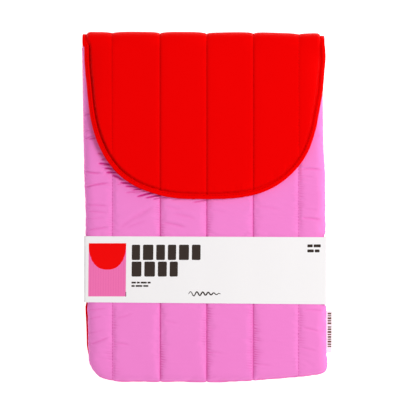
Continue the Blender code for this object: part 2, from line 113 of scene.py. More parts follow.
# column plans: steps between quilting lines, on a side's turn, and from there to the outer line
FRONT_GRID = dict(per=40, arc=17, flat=14)
BACK_GRID = dict(per=30, arc=15, flat=10)
LINING_GRID = dict(per=14, arc=8, flat=6)
FLAP_PER, FLAP_FLAT = 44, 26

# how each bend is shared between its two moving bodies
BLEND = 3.1
FIRST_BEND = (
    "sleeve", "spine",
    (0, (Y_BEND - BLEND) * MM, (Z_BEND_1 - BLEND) * MM),
    (0, (Y_BEND + BLEND) * MM, (Z_BEND_1 + BLEND) * MM),
)
SECOND_BEND = (
    "spine", "flap",
    (0, (Y_BEND + BLEND) * MM, (Z_BEND_2 - BLEND) * MM),
    (0, (Y_BEND - BLEND) * MM, (Z_BEND_2 + BLEND) * MM),
)


def attach(obj, motion, slot=None, *replaced):
    if isinstance(motion, str):
        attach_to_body(obj, motion)
    else:
        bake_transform(obj)
    if replaced:
        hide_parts(*replaced)


# ================================================================ curves and noise
def smooth(t):
    t = np.clip(t, 0, 1)
    return t * t * (3 - 2 * t)


def rise(value, start, length):
    """0 below start, eased to 1 over the length above it."""
    return smooth((value - start) / length)


def fall(value, start, length):
    """0 above start, eased to 1 over the length below it."""
    return smooth((start - value) / length)


def bell(value, centre, width):
    return np.exp(-((value - centre) / width) ** 2)


def round_off(share):
    """Quarter-circle drop: 1 at share 0, 0 at share 1."""
    return 1 - np.sqrt(np.clip(1 - (1 - share) ** 2, 0, 1))


def noise2(x, y, seed):
    """Smooth noise in -1..1 on a unit lattice."""
    grid = np.random.default_rng(seed).uniform(-1, 1, (64, 64))
    n = len(grid)
    xi, yi = np.floor(x).astype(int), np.floor(y).astype(int)
    fx, fy = x - xi, y - yi
    fx, fy = fx * fx * (3 - 2 * fx), fy * fy * (3 - 2 * fy)
    low = grid[xi % n, yi % n] * (1 - fx) + grid[(xi + 1) % n, yi % n] * fx
    high = grid[xi % n, (yi + 1) % n] * (1 - fx) + grid[(xi + 1) % n, (yi + 1) % n] * fx
    return low * (1 - fy) + high * fy


def unit(vectors):
    return vectors / np.linalg.norm(vectors, axis=-1, keepdims=True)


def lengths_along(points):
    return np.concatenate([[0], np.cumsum(np.linalg.norm(np.diff(points, axis=0), axis=1))])


def resample(points, stations):
    lengths = lengths_along(points)
    return np.stack([np.interp(stations, lengths, column) for column in points.T], 1)


def legs(start, *stops):
    """Evenly spaced values from start through each (stop, number of steps)."""
    out = [[start]]
    for stop, count in stops:
        out.append(np.linspace(start, stop, count + 1)[1:])
        start = stop
    return np.concatenate(out)


# ================================================================ outlines
def lean(y):
    """The front's lower left side leans in, leaving a sliver of the red back in sight."""
    return 1.7 * fall(y, -88, 10) + 0.4 * fall(y, -105, 40) + 0.35 * fall(y, -145, 28)


def front_left(y):
    return -(127.3 + 0.015 * y) + 1.0 * bell(y, -10, 38) + lean(y)


def back_left(y):
    """The back panel stands a little proud of the front at the lower left."""
    proud = (1.3 + 0.35 * rise(y, -130, 30)) * fall(y, -88, 10) + 0.8 * fall(y, -100, 4)
    return front_left(y) - proud * rise(y, -172, 22)


def right_edge(y):
    """Nearly straight, with a swell at the fold and another above the band."""
    straight = 126.3 - 0.016 * y + 2.2 * bell(y, 160, 20)
    held = rise(y, -104.5, 4.5) * fall(y, -25.5, 4.5)     # the card holds the side in
    swell = (1.0 - 0.6 * fall(y, 4, 12)) * fall(y, 66, 34) * rise(y, -60, 30)
    return straight + swell * (1 - held) - 1.2 * held


def bottom_edge(x):
    right_lift = 7.6 * np.clip((x + 10) / 126, 0, None) ** 2.2
    return Y_LOW + right_lift + 3.6 * np.clip((-80 - x) / 25, 0, 1.6) ** 2


def under_band(y):
    return rise(y, -106, 5) * fall(y, -26, 5)


def flap_outline(count=900, half_width=125.9, top=180.8, power=2.95):
    """The flap's outer edge from its left root through the tip to its right root,
    with inward normals."""
    angle = np.linspace(0, 1, count) * math.pi / 2
    across = np.cos(angle) ** (2 / power)
    across[-1] = 0
    x = -half_width * across
    y = top - (top - FLAP_TIP) * np.sin(angle) ** (2 / power)
    left = np.stack([x, y], 1)
    right = np.stack([-x[::-1], y[::-1]], 1)[1:]
    # the left side leans in; the right one swells near the fold and then draws in
    ease = smooth(-left[:, 0] / 50)
    left[:, 0] += ease * (0.9 + 0.4 * fall(y, 150, 20) + 1.0 * bell(y, 122, 26))
    left[:, 1] += 1.2 * bell(left[:, 0], -62, 24)
    y = right[:, 1]
    right[:, 0] += 0.9 * bell(y, 157, 11) - 1.2 * bell(y, 100, 20) + 0.7 * bell(y, 54, 10)
    points = np.concatenate([left, right])
    points = resample(points, np.linspace(0, lengths_along(points)[-1], 1201))
    tangent = unit(np.gradient(points, axis=0))
    return points + [FLAP_X, 0], np.stack([-tangent[:, 1], tangent[:, 0]], 1)


FLAP_EDGE, FLAP_INWARD = flap_outline()
FLAP_LEFT = FLAP_EDGE[: len(FLAP_EDGE) // 2]
QUILT_EDGE = FLAP_EDGE + FLAP_INWARD * (BINDING_W - 0.5)   # tucked under the binding


def flap_sides(y):
    """Left and right x of the quilted part of the flap at height y."""
    middle = len(QUILT_EDGE) // 2
    left, right = QUILT_EDGE[:middle], QUILT_EDGE[middle:]
    left_x = np.interp(y, left[::-1, 1], left[::-1, 0])
    return left_x, np.interp(y, right[::-1, 1][::-1], right[:, 0])


def flap_end(x):
    """y where the quilted part of the flap ends, at x."""
    keep = np.abs(QUILT_EDGE[:, 0] - FLAP_X) < 112
    return np.interp(x, QUILT_EDGE[keep, 0], QUILT_EDGE[keep, 1])


def polyline_distance(x, y, line, chunk=4000):
    """Distance of each point to the nearest point of a dense line, and that point's number."""
    points = np.stack([x.ravel(), y.ravel()], 1)
    distance, nearest = np.empty(len(points)), np.empty(len(points))
    for i in range(0, len(points), chunk):
        gap = ((points[i:i + chunk, None, :] - line[None, :, :]) ** 2).sum(2)
        k = gap.argmin(1)
        distance[i:i + chunk] = np.sqrt(gap[np.arange(len(k)), k])
        nearest[i:i + chunk] = k
    return distance.reshape(x.shape), nearest.reshape(x.shape)


# ================================================================ quilting relief
# SEAM_PAINTED_SHADE is the strength of the painted shade along each quilting line
SEAM_DEPTH = np.array((0.34, 1.0, 1.0, 0.88, 0.30))   # outer lines are sewn through less loft
SEAM_PAINTED_SHADE = np.array((0.14, 1.0, 1.0, 0.85, 0.08))    # and show less as a dark line
SEAM_GATHER = np.array((0.6, 1.0, 1.0, 1.0, 0.5))     # strength of the short gathers


def seam_distance(x):
    """Signed distance to the nearest quilting line, and that line's number."""
    offset = x[..., None] - SEAMS
    line = np.abs(offset).argmin(-1)
    return np.take_along_axis(offset, line[..., None], -1)[..., 0], line


def seam_shade(x, left, right):
    """Painted shade along the nearest quilting line, 1 on it; left and right are its fading
    lengths, which differ because the two sides face the light differently.
    """
    offset, line = seam_distance(x)
    return SEAM_PAINTED_SHADE[line] * np.exp(-np.abs(offset) / np.where(offset < 0, left, right))


def quilt(x, y, depth, spread, pucker, seed):
    """Puffs between the quilting lines, with small gathers beside each line."""
    offset, line = seam_distance(x)
    gap = np.abs(offset)
    slack = np.clip(gap / spread, 0, 1)
    groove = 0.80 * np.exp(-gap / 0.95) + 0.14 * (1 - slack) ** 2.0
    lane = line * 7.3 + np.where(offset > 0, 1, 0) * 3.1      # own noise per line and side
    tick = noise2(y / 1.55 + gap * 0.04, lane, seed + 1)
    tick = tick + 0.5 * noise2(y / 3.4 - gap * 0.05, lane + 40, seed + 2)
    amount = 0.30 + 0.70 * smooth(noise2(y / 30, lane + 11, seed + 3) * 0.8 + 0.5)
    length = 4.2 + 2.2 * noise2(y / 5.5, lane + 23, seed + 4)
    reach = np.exp(-(np.clip(gap - 0.8, 0, None) / length) ** 2) * np.clip(gap / 0.7, 0, 1)
    return -depth * SEAM_DEPTH[line] * groove + pucker * tick * amount * reach


def puckers(x, y, seed):
    """Strength 0..1 of the regular gathers by the lines, stronger to the right of each."""
    offset, line = seam_distance(x)
    gap = np.abs(offset)
    right = offset > 0
    lane = line * 5.3 + np.where(right, 1, 0) * 2.1
    phase = y / 2.5 + 0.45 * noise2(y / 8, lane, seed) + 0.05 * gap * np.where(right, 1, -1)
    groove = (0.5 + 0.5 * np.cos(2 * math.pi * phase)) ** 2.5
    length = 3.6 + 2.4 * noise2(y / 4.3, lane + 31, seed + 1)
    near = np.exp(-(np.clip(gap - 0.5, 0, None) / length) ** 2) * rise(gap, 0.3, 0.9)
    much = smooth(noise2(y / 26, lane + 17, seed + 2) * 0.9 + 0.55)
    return groove * near * much * np.where(right, 1.0, 0.5) * SEAM_GATHER[line]


def crease(x, y, x0, y0, x1, y1, depth, width, bow):
    """A soft wrinkle between two points: a groove with a low ridge on either side."""
    dx, dy = x1 - x0, y1 - y0
    length = math.hypot(dx, dy)
    px, py = x - x0, y - y0
    t = (px * dx + py * dy) / (dx * dx + dy * dy)
    off = px * (-dy / length) + py * (dx / length) - bow * 4 * t * (1 - t)
    groove = -np.exp(-np.abs(off / width) ** 1.4)
    ridges = 0.40 * bell(off, 2.0 * width, 1.2 * width)
    ridges = ridges + 0.18 * bell(off, -2.2 * width, 1.3 * width)
    return smooth(t / 0.22) * smooth((1 - t) / 0.30) * depth * (groove + ridges)


# creases as x0, y0, x1, y1, depth, width, bow
WRINKLES = [
    # left channel beside the flap
    (-128.5, 96.5, -115.0, 98.5, 1.5, 0.9, 0.5), (-128.0, 71.0, -112.0, 76.0, 1.3, 1.0, 0.8),
    (-128.5, 79.5, -119.0, 81.0, 0.9, 0.9, 0.3), (-128.0, 38.5, -106.0, 36.5, 1.2, 0.95, -0.8),
    (-128.0, 20.5, -97.5, 26.0, 1.3, 0.95, 1.2), (-126.0, 3.0, -99.0, 2.0, 0.65, 1.1, 0.4),
    (-125.5, -3.5, -101.0, -5.5, 0.55, 1.0, 0.5), (-125.5, -12.0, -104.0, -10.5, 0.40, 1.2, 0.4),
    (-125.0, -24.0, -98.5, -20.0, 0.65, 1.1, 0.5),
    # second channel, slanting up to the flap
    (-92.0, -24.0, -52.0, 3.0, 0.45, 2.4, 1.5), (-84.0, -22.0, -60.0, -13.0, 0.40, 1.6, 0.8),
    (-72.0, -12.0, -50.0, 4.0, 0.40, 1.8, 1.0),
    # above the band
    (-46.0, -15.0, -18.0, -21.0, 0.70, 1.6, 0.8), (-34.0, -6.0, -8.0, -12.0, 0.40, 2.0, 0.8),
    (-44.0, 2.0, -24.0, -2.0, 0.35, 1.5, 0.4), (4.0, -2.0, 24.0, -5.0, 0.28, 1.6, 0.4),
    (99.0, 41.0, 123.0, 39.5, 0.75, 1.1, 0.6), (99.0, 33.0, 114.0, 32.0, 0.35, 1.0, 0.3),
    (99.0, -10.5, 123.5, -13.0, 0.70, 1.1, 0.6), (101.0, -1.0, 120.0, -2.5, 0.30, 1.1, 0.3),
    (52.0, 2.0, 80.0, -2.0, 0.32, 1.8, 0.5),
    # below the band
    (-124.5, -107.0, -100.5, -104.0, 0.50, 1.2, -0.5),
    (-124.0, -116.0, -106.0, -112.5, 0.45, 1.2, -0.4),
    (-123.5, -131.0, -104.5, -127.0, 0.40, 1.3, -0.4),
    (-122.0, -143.0, -98.5, -134.0, 0.65, 1.3, -0.5),
    (-95.0, -115.5, -74.0, -109.5, 0.42, 1.3, -0.8),
    (-94.0, -141.0, -78.0, -143.5, 0.50, 1.2, 0.4), (-80.0, -105.0, -64.0, -99.5, 0.40, 1.3, 0.4),
    (-45.0, -118.0, -28.0, -121.0, 0.30, 1.4, 0.4), (100.0, -124.5, 121.0, -130.0, 0.50, 1.2, 0.5),
    (101.0, -106.5, 125.0, -107.5, 0.45, 1.1, 0.3), (99.0, -146.0, 118.0, -150.0, 0.35, 1.2, 0.3),
    (2.5, -150.0, 20.0, -152.5, 0.35, 1.2, 0.3), (52.5, -163.0, 70.0, -165.0, 0.35, 1.2, 0.3),
]
# the sharpest gathers by the flap's lower left edge; fine_gathers adds the rest
SHARP_GATHERS = [
    (-122.8, 71.3, -110.0, 73.4, 0.9, 1.0, 0.4), (-113.5, 57.3, -102.0, 55.0, 0.7, 1.5, 0.3),
    (-109.5, 50.0, -98.0, 52.4, 0.8, 1.3, 0.3), (-112.5, 46.6, -95.0, 44.6, 1.3, 1.3, 0.4),
    (-106.5, 41.3, -91.0, 40.0, 1.5, 1.0, 0.4), (-104.5, 37.0, -88.0, 37.6, 1.5, 0.95, -0.3),
    (-98.5, 35.0, -84.0, 27.5, 1.1, 1.7, 0.8), (-90.5, 26.6, -68.0, 26.0, 1.6, 1.1, -0.4),
    (-85.5, 22.8, -64.0, 20.9, 1.3, 1.2, 0.4), (-78.0, 18.2, -57.0, 20.8, 1.5, 1.0, 0.4),
    (-84.0, 15.7, -67.0, 17.2, 0.6, 1.2, 0.3), (-73.0, 11.0, -46.0, 17.6, 1.6, 1.1, 0.5),
    (-64.5, 9.9, -39.0, 14.0, 1.4, 1.0, 0.4), (-56.5, 8.6, -37.0, 11.4, 0.8, 1.0, 0.3),
]
FINE_DEPTH = 0.34                                  # scales the depth of every fine gather


def fine_gathers():
    """Short gathers that fan out to the left from under the flap's lower left edge."""
    rng = np.random.default_rng(4407)
    out = []
    y = 60.0
    while y > 8.5:
        x = np.interp(y, FLAP_LEFT[::-1, 1], FLAP_LEFT[::-1, 0])
        strength = fall(y, 62, 20) * (0.75 + 0.5 * rng.uniform())
        reach = rng.uniform(7, 14) * (0.65 + 0.35 * strength)
        slope = rng.uniform(-0.16, 0.10) - 0.10 * fall(y, 30, 20)
        depth = FINE_DEPTH * (1.7 * strength)
        width, bow = rng.uniform(0.65, 0.95), rng.uniform(-0.5, 0.5)
        out.append((x - reach, y - 1.5 + slope * reach, x + 7.0, y + 1.2, depth, width, bow))
        y -= rng.uniform(2.4, 4.2) * (0.55 + 0.45 * rise(y, 8, 26))
    for x in (-62.0, -55.0, -48.0, -41.0, -34.0):
        y = np.interp(x, FLAP_EDGE[:, 0], FLAP_EDGE[:, 1])
        start = x - 12 - rng.uniform(0, 4), y - 4.0 + rng.uniform(-0.8, 0.8)
        depth = FINE_DEPTH * (1.1 * rng.uniform(0.6, 1.1))
        out.append((*start, x + 5.0, y + 1.0, depth, rng.uniform(0.7, 0.95), 0.3))
    return out


GATHERS = SHARP_GATHERS + fine_gathers()


def wide_drift(x, y, seed, amount):
    broad = 0.7 * noise2(x / 34 + 9, y / 46 + 3, seed)
    return amount * (broad + 0.3 * noise2(x / 13 + 5, y / 17 + 8, seed + 5))


def body_quilt(x, y, rad, **quilting):
    """Quilting that weakens towards the sewn edge, and the crease on it; rad is 1 there."""
    pinch_depth, pinch_reach = 0.7, 0.16
    puffs = quilt(x, y, **quilting) * (1 - 0.55 * rise(rad, 0.35, 0.65))
    return puffs - pinch_depth * np.clip((rad - (1 - pinch_reach)) / pinch_reach, 0, 1) ** 2.5


def front_relief(x, y, rad, banded):
    """Height of the front cloth over its smooth shape, and the painted shade at each point: along
    the seams, in the gathers and creases, on the rim and beside the flap.
    """
    z = body_quilt(x, y, rad, depth=1.9, spread=12.0, pucker=0.30, seed=11)
    z += wide_drift(x, y, seed=21, amount=0.30) * (1 - 0.6 * banded)
    ticks = puckers(x, y, seed=141) * (1 - banded) * (1 - rise(rad, 0.5, 0.4))
    z -= 0.42 * ticks
    # painted shade on the quilting lines, the gathers and the rim, darkest on the rim near the
    # bottom
    fold = 0.60 * seam_shade(x, left=0.5, right=0.95) * (1 - rise(rad, 0.5, 0.5))
    fold = np.maximum(fold, 0.72 * ticks)
    fold = np.maximum(fold, (0.12 + 0.45 * fall(y, -164, 8)) * rise(rad, 0.72, 0.28))
    # shade beside the flap's lower left edge
    gap, _ = polyline_distance(x, y, FLAP_LEFT[::3])
    beside = fall(x, -34, 44) * fall(y, 118, 26)
    shade = 0.16 * np.exp(-(gap / 4.0) ** 1.5) + 0.12 * bell(gap, 0, 11.0)
    fold = np.maximum(fold, beside * shade)
    # each crease also gets painted shade, deeper for the gathers than for the long wrinkles
    for table, crease_shade in ((WRINKLES, 0.30), (GATHERS, 0.95)):
        for entry in table:
            groove = crease(x, y, *entry) * (1 - banded)
            z += groove
            fold = np.maximum(fold, crease_shade * np.clip(-groove / 0.9, 0, 1) ** 1.3)
    # fine crosswise ripples, stronger in the left channel and above the band
    fine = noise2(x / 15 + 3, y / 1.9, 83) + 0.7 * noise2(x / 9 + 7, y / 3.1 + 5, 84)
    more = 1 + 0.9 * fall(x, -85, 15) + 0.7 * rise(y, -30, 10) * fall(y, 70, 30)
    z += 0.055 * more * fine * smooth(noise2(x / 40, y / 30, 85) + 0.7)
    # gathers on the rounded rim
    z += 0.16 * (noise2(y / 2.6, 4.0, 77) * bell((1 - rad) * HALF, 0, 4.5) * rise(rad, 0.1, 0.5))
    # the card presses the cloth down
    z = np.where(banded > 0, np.minimum(z - 0.25 * banded, 0.05 + (1 - banded)), z)
    return z, fold


def fold_relief(x, run):
    """Relief of the red panel on the fold; both halves of the fold use it."""
    end = np.minimum(x - x[..., :1], x[..., -1:] - x)
    relief = quilt(x, run, depth=1.0, spread=12.0, pucker=0.14, seed=31)
    relief = relief - 1.15 * np.exp(-np.abs(seam_distance(x)[0]) / 5.5)   # puffs as low arcs
    relief = relief + 0.5 - 0.7 * bell(x, 14, 20)
    rim = -2.6 * round_off(np.clip(end / 4.6, 0, 1))
    return np.maximum(relief, -2.5) + rim + 0.15 * noise2(x / 20, run / 26 + 3, 39)


# ================================================================ meshes from grids
def make_object(name, verts, faces, uvs=None, mats=(), face_mats=None):
    """A smooth-shaded object from points in mm."""
    mesh = bpy.data.meshes.new(name)
    points = np.array(verts, float)
    # the fold end sinks in y on the right; everything near it follows
    points[:, 1] -= 1.5 * rise(points[:, 0], 35, 60) * rise(points[:, 1], 60, 100)
    points[:, 0] += X_CENTRE
    mesh.from_pydata((points * MM).tolist(), [], faces)
    if uvs is not None:
        layer = mesh.uv_layers.new(name="fabric")
        corners = np.empty(len(mesh.loops), int)
        mesh.loops.foreach_get("vertex_index", corners)
        layer.data.foreach_set("uv", np.asarray(uvs, float)[corners].astype(np.float32).ravel())
    for mat in mats:
        mesh.materials.append(mat)
    if face_mats is not None:
        mesh.polygons.foreach_set("material_index", np.asarray(face_mats, np.int32))
    mesh.shade_smooth()
    mesh.update()
    obj = bpy.data.objects.new(name, mesh)
    COLLECTION.objects.link(obj)
    return obj


def tidy(obj, merge=False, sharp_from=None):
    """Turns all faces outwards. merge joins coincident points first; sharp_from is the first
    face of the second group, and edges between the groups become sharp."""
    bm = bmesh.new()
    bm.from_mesh(obj.data)
    if merge:
        bmesh.ops.remove_doubles(bm, verts=bm.verts, dist=1e-7)
        bmesh.ops.dissolve_degenerate(bm, edges=bm.edges, dist=1e-8)
    bmesh.ops.recalc_face_normals(bm, faces=bm.faces)
    if sharp_from is not None:
        for edge in bm.edges:
            groups = [face.index >= sharp_from for face in edge.link_faces]
            if len(groups) == 2 and groups[0] != groups[1]:
                edge.smooth = False
    bm.to_mesh(obj.data)
    bm.free()
    return obj


def panel_solid(name, outer, inner, uv, rows, cols, mats, edge_mat=0, inner_mat=0, fold=None):
    """A closed solid: a fine outer grid, an inner grid kept only on the given rows and
    columns, and a rim between them."""
    n, m = outer.shape[:2]
    kept = np.ix_(rows, cols)
    verts = np.concatenate([outer.reshape(-1, 3), inner[kept].reshape(-1, 3)])
    uvs = np.concatenate([uv.reshape(-1, 2), uv[kept].reshape(-1, 2)])
    i = np.arange(n * m).reshape(n, m)
    fine = np.stack([i[:-1, :-1], i[:-1, 1:], i[1:, 1:], i[1:, :-1]], -1).reshape(-1, 4).tolist()
    j = n * m + np.arange(len(rows) * len(cols)).reshape(len(rows), len(cols))
    coarse = np.stack([j[:-1, :-1], j[1:, :-1], j[1:, 1:], j[:-1, 1:]], -1).reshape(-1, 4).tolist()
    rim = []
    borders = (
        (i[0, :], cols, j[0, :]), (i[:, -1], rows, j[:, -1]),
        (i[-1, :], cols, j[-1, :]), (i[:, 0], rows, j[:, 0]),
    )
    for line, stops, coarse_line in borders:
        for a, b, ca, cb in zip(stops, stops[1:], coarse_line, coarse_line[1:]):
            rim.append([int(ca), int(cb)] + [int(line[k]) for k in range(b, a - 1, -1)])
    face_mats = [0] * len(fine) + [inner_mat] * len(coarse) + [edge_mat] * len(rim)
    obj = make_object(name, verts, fine + coarse + rim, uvs, mats, face_mats)
    # the fold attribute carries painted shade that the cloth material mixes in
    if fold is not None:
        layer = obj.data.attributes.new("fold", "FLOAT", "POINT")
        values = np.concatenate([np.clip(fold, 0, 1).ravel(), np.zeros(j.size)])
        layer.data.foreach_set("value", values.astype(np.float32))
    return tidy(obj, sharp_from=len(fine))


def fabric_uv(points):
    """Running length across and along a grid, in mm."""
    n, m = points.shape[:2]
    across = np.cumsum(np.linalg.norm(np.diff(points, axis=1), axis=2), 1)
    across = np.concatenate([np.zeros((n, 1)), across], 1)
    along = np.cumsum(np.linalg.norm(np.diff(points, axis=0), axis=2), 0)
    along = np.concatenate([np.zeros((1, m)), along], 0)
    return np.stack([across - across[:, m // 2][:, None], along], -1)


def sheet(name, top, bottom, mat):
    """A closed thin sheet between two equal grids."""
    n, m = top.shape[:2]
    return panel_solid(name, top, bottom, fabric_uv(top), list(range(n)), list(range(m)), [mat])


def picks(n, step):
    """Every step-th index from 0 to n - 1, always with the last one."""
    out = list(range(0, n - 1, step))
    if n - 1 - out[-1] < step / 2 and len(out) > 1:
        out.pop()
    return out + [n - 1]


def column_picks(count, step, arc):
    """Spaced columns, with closer ones where the sides turn down."""
    sides = set(range(0, arc, 4)) | set(range(count - arc, count, 4))
    return sorted(set(picks(count, step)) | sides)


def sweep(name, path, side, up, sections, mat):
    """A closed solid: sections of (side, up) pairs carried along a path."""
    lengths = lengths_along(path)
    verts, uvs = [], []
    for a, section in enumerate(sections):
        verts.append(path[a] + section[:, :1] * side[a] + section[:, 1:] * up[a])
        uvs.append(np.stack([lengths_along(section), np.full(len(section), lengths[a])], 1))
    n, k = len(path), len(sections[0])
    i = np.arange(n * k).reshape(n, k)
    faces = []
    for a in range(n - 1):
        for b in range(k):
            c = (b + 1) % k
            faces.append([int(i[a, b]), int(i[a, c]), int(i[a + 1, c]), int(i[a + 1, b])])
    faces.append(i[0, ::-1].tolist())
    faces.append(i[-1].tolist())
    return tidy(make_object(name, np.concatenate(verts), faces, np.concatenate(uvs), [mat]))


def rounded_box(x0, y0, x1, y1, radius, steps):
    """Outline of a rectangle with rounded corners."""
    radius = min(radius, (x1 - x0) / 2.2, (y1 - y0) / 2.2)
    left, right, low, high = x0 + radius, x1 - radius, y0 + radius, y1 - radius
    points = []
    for cx, cy, start in ((right, high, 0), (left, high, 90), (left, low, 180), (right, low, 270)):
        for k in range(steps + 1):
            angle = math.radians(start + 90 * k / steps)
            points.append((cx + radius * math.cos(angle), cy + radius * math.sin(angle)))
    return points


# rings of one stitch: place along it, share of the radius, share of the lift
STITCH_RINGS = (
    (-0.5, 0.35, -0.55), (-0.40, 0.85, 0.1), (0.0, 1.0, 1.0), (0.40, 0.85, 0.1), (0.5, 0.35, -0.55),
)
BINDING_STITCH = dict(length=2.3, pitch=3.1, radius=0.2, lift=0.14)
PATCH_STITCH = dict(length=2.0, pitch=2.8, radius=0.18, lift=0.1)


def stitches(name, path, up, mat, length=2.5, pitch=3.3, radius=0.24, lift=0.16, sides=6):
    """Separate stitches along a path: small closed capsules that dip into the cloth at
    both ends."""
    lengths = lengths_along(path)

    def at(values, place):
        return np.array([np.interp(place, lengths, column) for column in values.T])

    verts, faces = [], []
    for count in range(int((lengths[-1] - 1.0) / pitch)):
        middle = 0.5 + pitch * (count + 0.5)
        start = len(verts)
        for t, width, dip in STITCH_RINGS:
            place = middle + t * length
            ahead = unit(at(path, place + 0.3) - at(path, place - 0.3))
            normal = at(up, place)
            normal = unit(normal - ahead * (normal @ ahead))
            across = np.cross(ahead, normal)
            centre = at(path, place) + normal * (lift * dip)
            for k in range(sides):
                angle = 2 * math.pi * k / sides
                spoke = across * math.cos(angle) + normal * math.sin(angle)
                verts.append(centre + spoke * radius * width)
        for a in range(len(STITCH_RINGS) - 1):
            low = start + a * sides
            high = low + sides
            for k in range(sides):
                k2 = (k + 1) % sides
                faces.append([low + k, low + k2, high + k2, high + k])
        faces.append([start + k for k in range(sides)][::-1])
        faces.append([start + (len(STITCH_RINGS) - 1) * sides + k for k in range(sides)])
    return tidy(make_object(name, np.array(verts), faces, None, [mat]))


# ================================================================ materials
def rgba(colour, scale=1.0):
    return (*[c * scale for c in colour], 1)


class Shader:
    """A new material on a Principled BSDF, with short ways to add and link nodes."""

    def __init__(self, name):
        self.material = bpy.data.materials.new(name)
        self.material.use_nodes = True
        self.tree = self.material.node_tree
        self.bsdf = self.tree.nodes["Principled BSDF"]
        self.coord = None

    def feed(self, socket, value):
        if isinstance(value, bpy.types.NodeSocket):
            self.tree.links.new(value, socket)
        else:
            socket.default_value = value

    def add(self, kind, **values):
        node = self.tree.nodes.new(kind)
        for key, value in values.items():
            if key in node.inputs:
                node.inputs[key].default_value = value
            else:
                setattr(node, key, value)
        return node

    def math(self, operation, *values):
        node = self.add("ShaderNodeMath", operation=operation)
        for socket, value in zip(node.inputs, values):
            self.feed(socket, value)
        return node.outputs[0]

    def texture(self, kind, **values):
        if self.coord is None:
            self.coord = self.add("ShaderNodeTexCoord").outputs["Object"]
        node = self.add(kind, **values)
        self.feed(node.inputs["Vector"], self.coord)
        return node

    def noise(self, scale, detail, roughness):
        node = self.texture("ShaderNodeTexNoise", Scale=scale, Detail=detail, Roughness=roughness)
        return node.outputs["Fac"]

    def mix(self, share, first, second):
        node = self.add("ShaderNodeMix", data_type="RGBA")
        for index, value in ((0, share), (6, first), (7, second)):
            self.feed(node.inputs[index], value)
        return node.outputs[2]

    def varied(self, noise, middle, spread):
        """A value that the noise moves by half the spread either way."""
        return self.math("ADD", self.math("MULTIPLY", noise, spread), middle - spread / 2)

    def bump(self, height, strength, distance):
        node = self.add("ShaderNodeBump", Strength=strength, Distance=distance)
        self.feed(node.inputs["Height"], height)
        return node.outputs["Normal"]

    def surface(self, values):
        for key, value in values.items():
            self.feed(self.bsdf.inputs[key], value)
        return self.material


def woven(name, colour, dark, pitch=0.42, rough=0.55, sheen=0.04, bump=0.35, vary=0.10,
          twill=0.0, spec=0.22, deep=None):
    """Woven cloth: threads from the fabric's UVs, a slow drift towards dark, a soft sheen.
    pitch is in mm, twill slants the weft, deep is the painted shade colour that the fold attribute
    mixes in."""
    shader = Shader(name)
    calc = shader.math
    uv = shader.add("ShaderNodeUVMap", uv_map="fabric")
    split = shader.add("ShaderNodeSeparateXYZ")
    shader.feed(split.inputs[0], uv.outputs["UV"])
    across = calc("MULTIPLY", split.outputs[0], 2 * math.pi / pitch)
    along = calc("MULTIPLY", split.outputs[1], 2 * math.pi / pitch)
    if twill:
        along = calc("ADD", along, calc("MULTIPLY", across, twill))
    across, along = calc("MULTIPLY", across, 0.5), calc("MULTIPLY", along, 0.5)
    warp = calc("ABSOLUTE", calc("SINE", across))
    weft = calc("ABSOLUTE", calc("SINE", along))
    crossing = calc("MULTIPLY", calc("SINE", across), calc("SINE", along))
    over = calc("GREATER_THAN", crossing, 0.0)
    warp_on_top = calc("MULTIPLY", over, warp)
    weave = calc("ADD", warp_on_top, calc("MULTIPLY", calc("SUBTRACT", 1.0, over), weft))
    slow = shader.noise(scale=18.0, detail=3.0, roughness=0.5)
    fine = shader.noise(scale=900.0, detail=2.0, roughness=0.6)
    drift = calc("MULTIPLY", calc("SUBTRACT", slow, 0.5), vary * 2.2)
    thread = calc("MULTIPLY", calc("SUBTRACT", 1.0, weave), vary * 0.9)
    share = calc("ADD", calc("ADD", drift, thread), 0.04)
    clamp = shader.add("ShaderNodeClamp")
    shader.feed(clamp.inputs["Value"], share)
    base = shader.mix(clamp.outputs[0], rgba(colour), rgba(dark))
    if deep:
        # painted shade: the fold attribute mixes in a deeper colour where creases, seams, the rim
        # and the flap's edge would shade the cloth
        fold = shader.add("ShaderNodeAttribute", attribute_name="fold")
        base = shader.mix(fold.outputs["Fac"], base, rgba(deep))
    roughness = shader.varied(fine, rough, spread=0.14)
    height = calc("ADD", weave, calc("MULTIPLY", fine, 0.5))
    return shader.surface({
        "Base Color": base,
        "Roughness": roughness,
        "Normal": shader.bump(height, strength=bump, distance=0.00003),
        "Sheen Weight": sheen,
        "Sheen Roughness": 0.45,
        "Sheen Tint": rgba(colour),
        "Specular IOR Level": spec,
        "Specular Tint": rgba(colour),
    })


def fibre(name, colour, scale, rough=0.9, bump=0.6, distance=0.0002):
    """Matted or piled fibre: noise in colour and height."""
    shader = Shader(name)
    noise = shader.noise(scale=scale, detail=4.0, roughness=0.65)
    cells = shader.texture("ShaderNodeTexVoronoi", Scale=scale * 1.3).outputs["Distance"]
    base = shader.mix(noise, rgba(colour, 0.75), rgba(colour))
    height = shader.math("ADD", noise, shader.math("MULTIPLY", cells, 0.6))
    return shader.surface({
        "Base Color": base,
        "Normal": shader.bump(height, strength=bump, distance=distance),
        "Roughness": rough,
        "Sheen Weight": 0.3,
    })


def card(name, colour, rough, bump, speck, spec=0.4):
    """Uncoated card, or a dried film on it: faint mottling by the share speck."""
    shader = Shader(name)
    mottle = shader.noise(scale=260.0, detail=5.0, roughness=0.7)
    grain = shader.noise(scale=1500.0, detail=2.0, roughness=0.6)
    base = shader.mix(mottle, rgba(colour, 1 - speck), rgba(colour, 1 + speck))
    roughness = shader.varied(grain, rough, spread=0.16)
    height = shader.math("ADD", mottle, grain)
    return shader.surface({
        "Base Color": base,
        "Roughness": roughness,
        "Normal": shader.bump(height, strength=bump, distance=0.00005),
        "Specular IOR Level": spec,
        "Specular Tint": rgba(colour),
    })


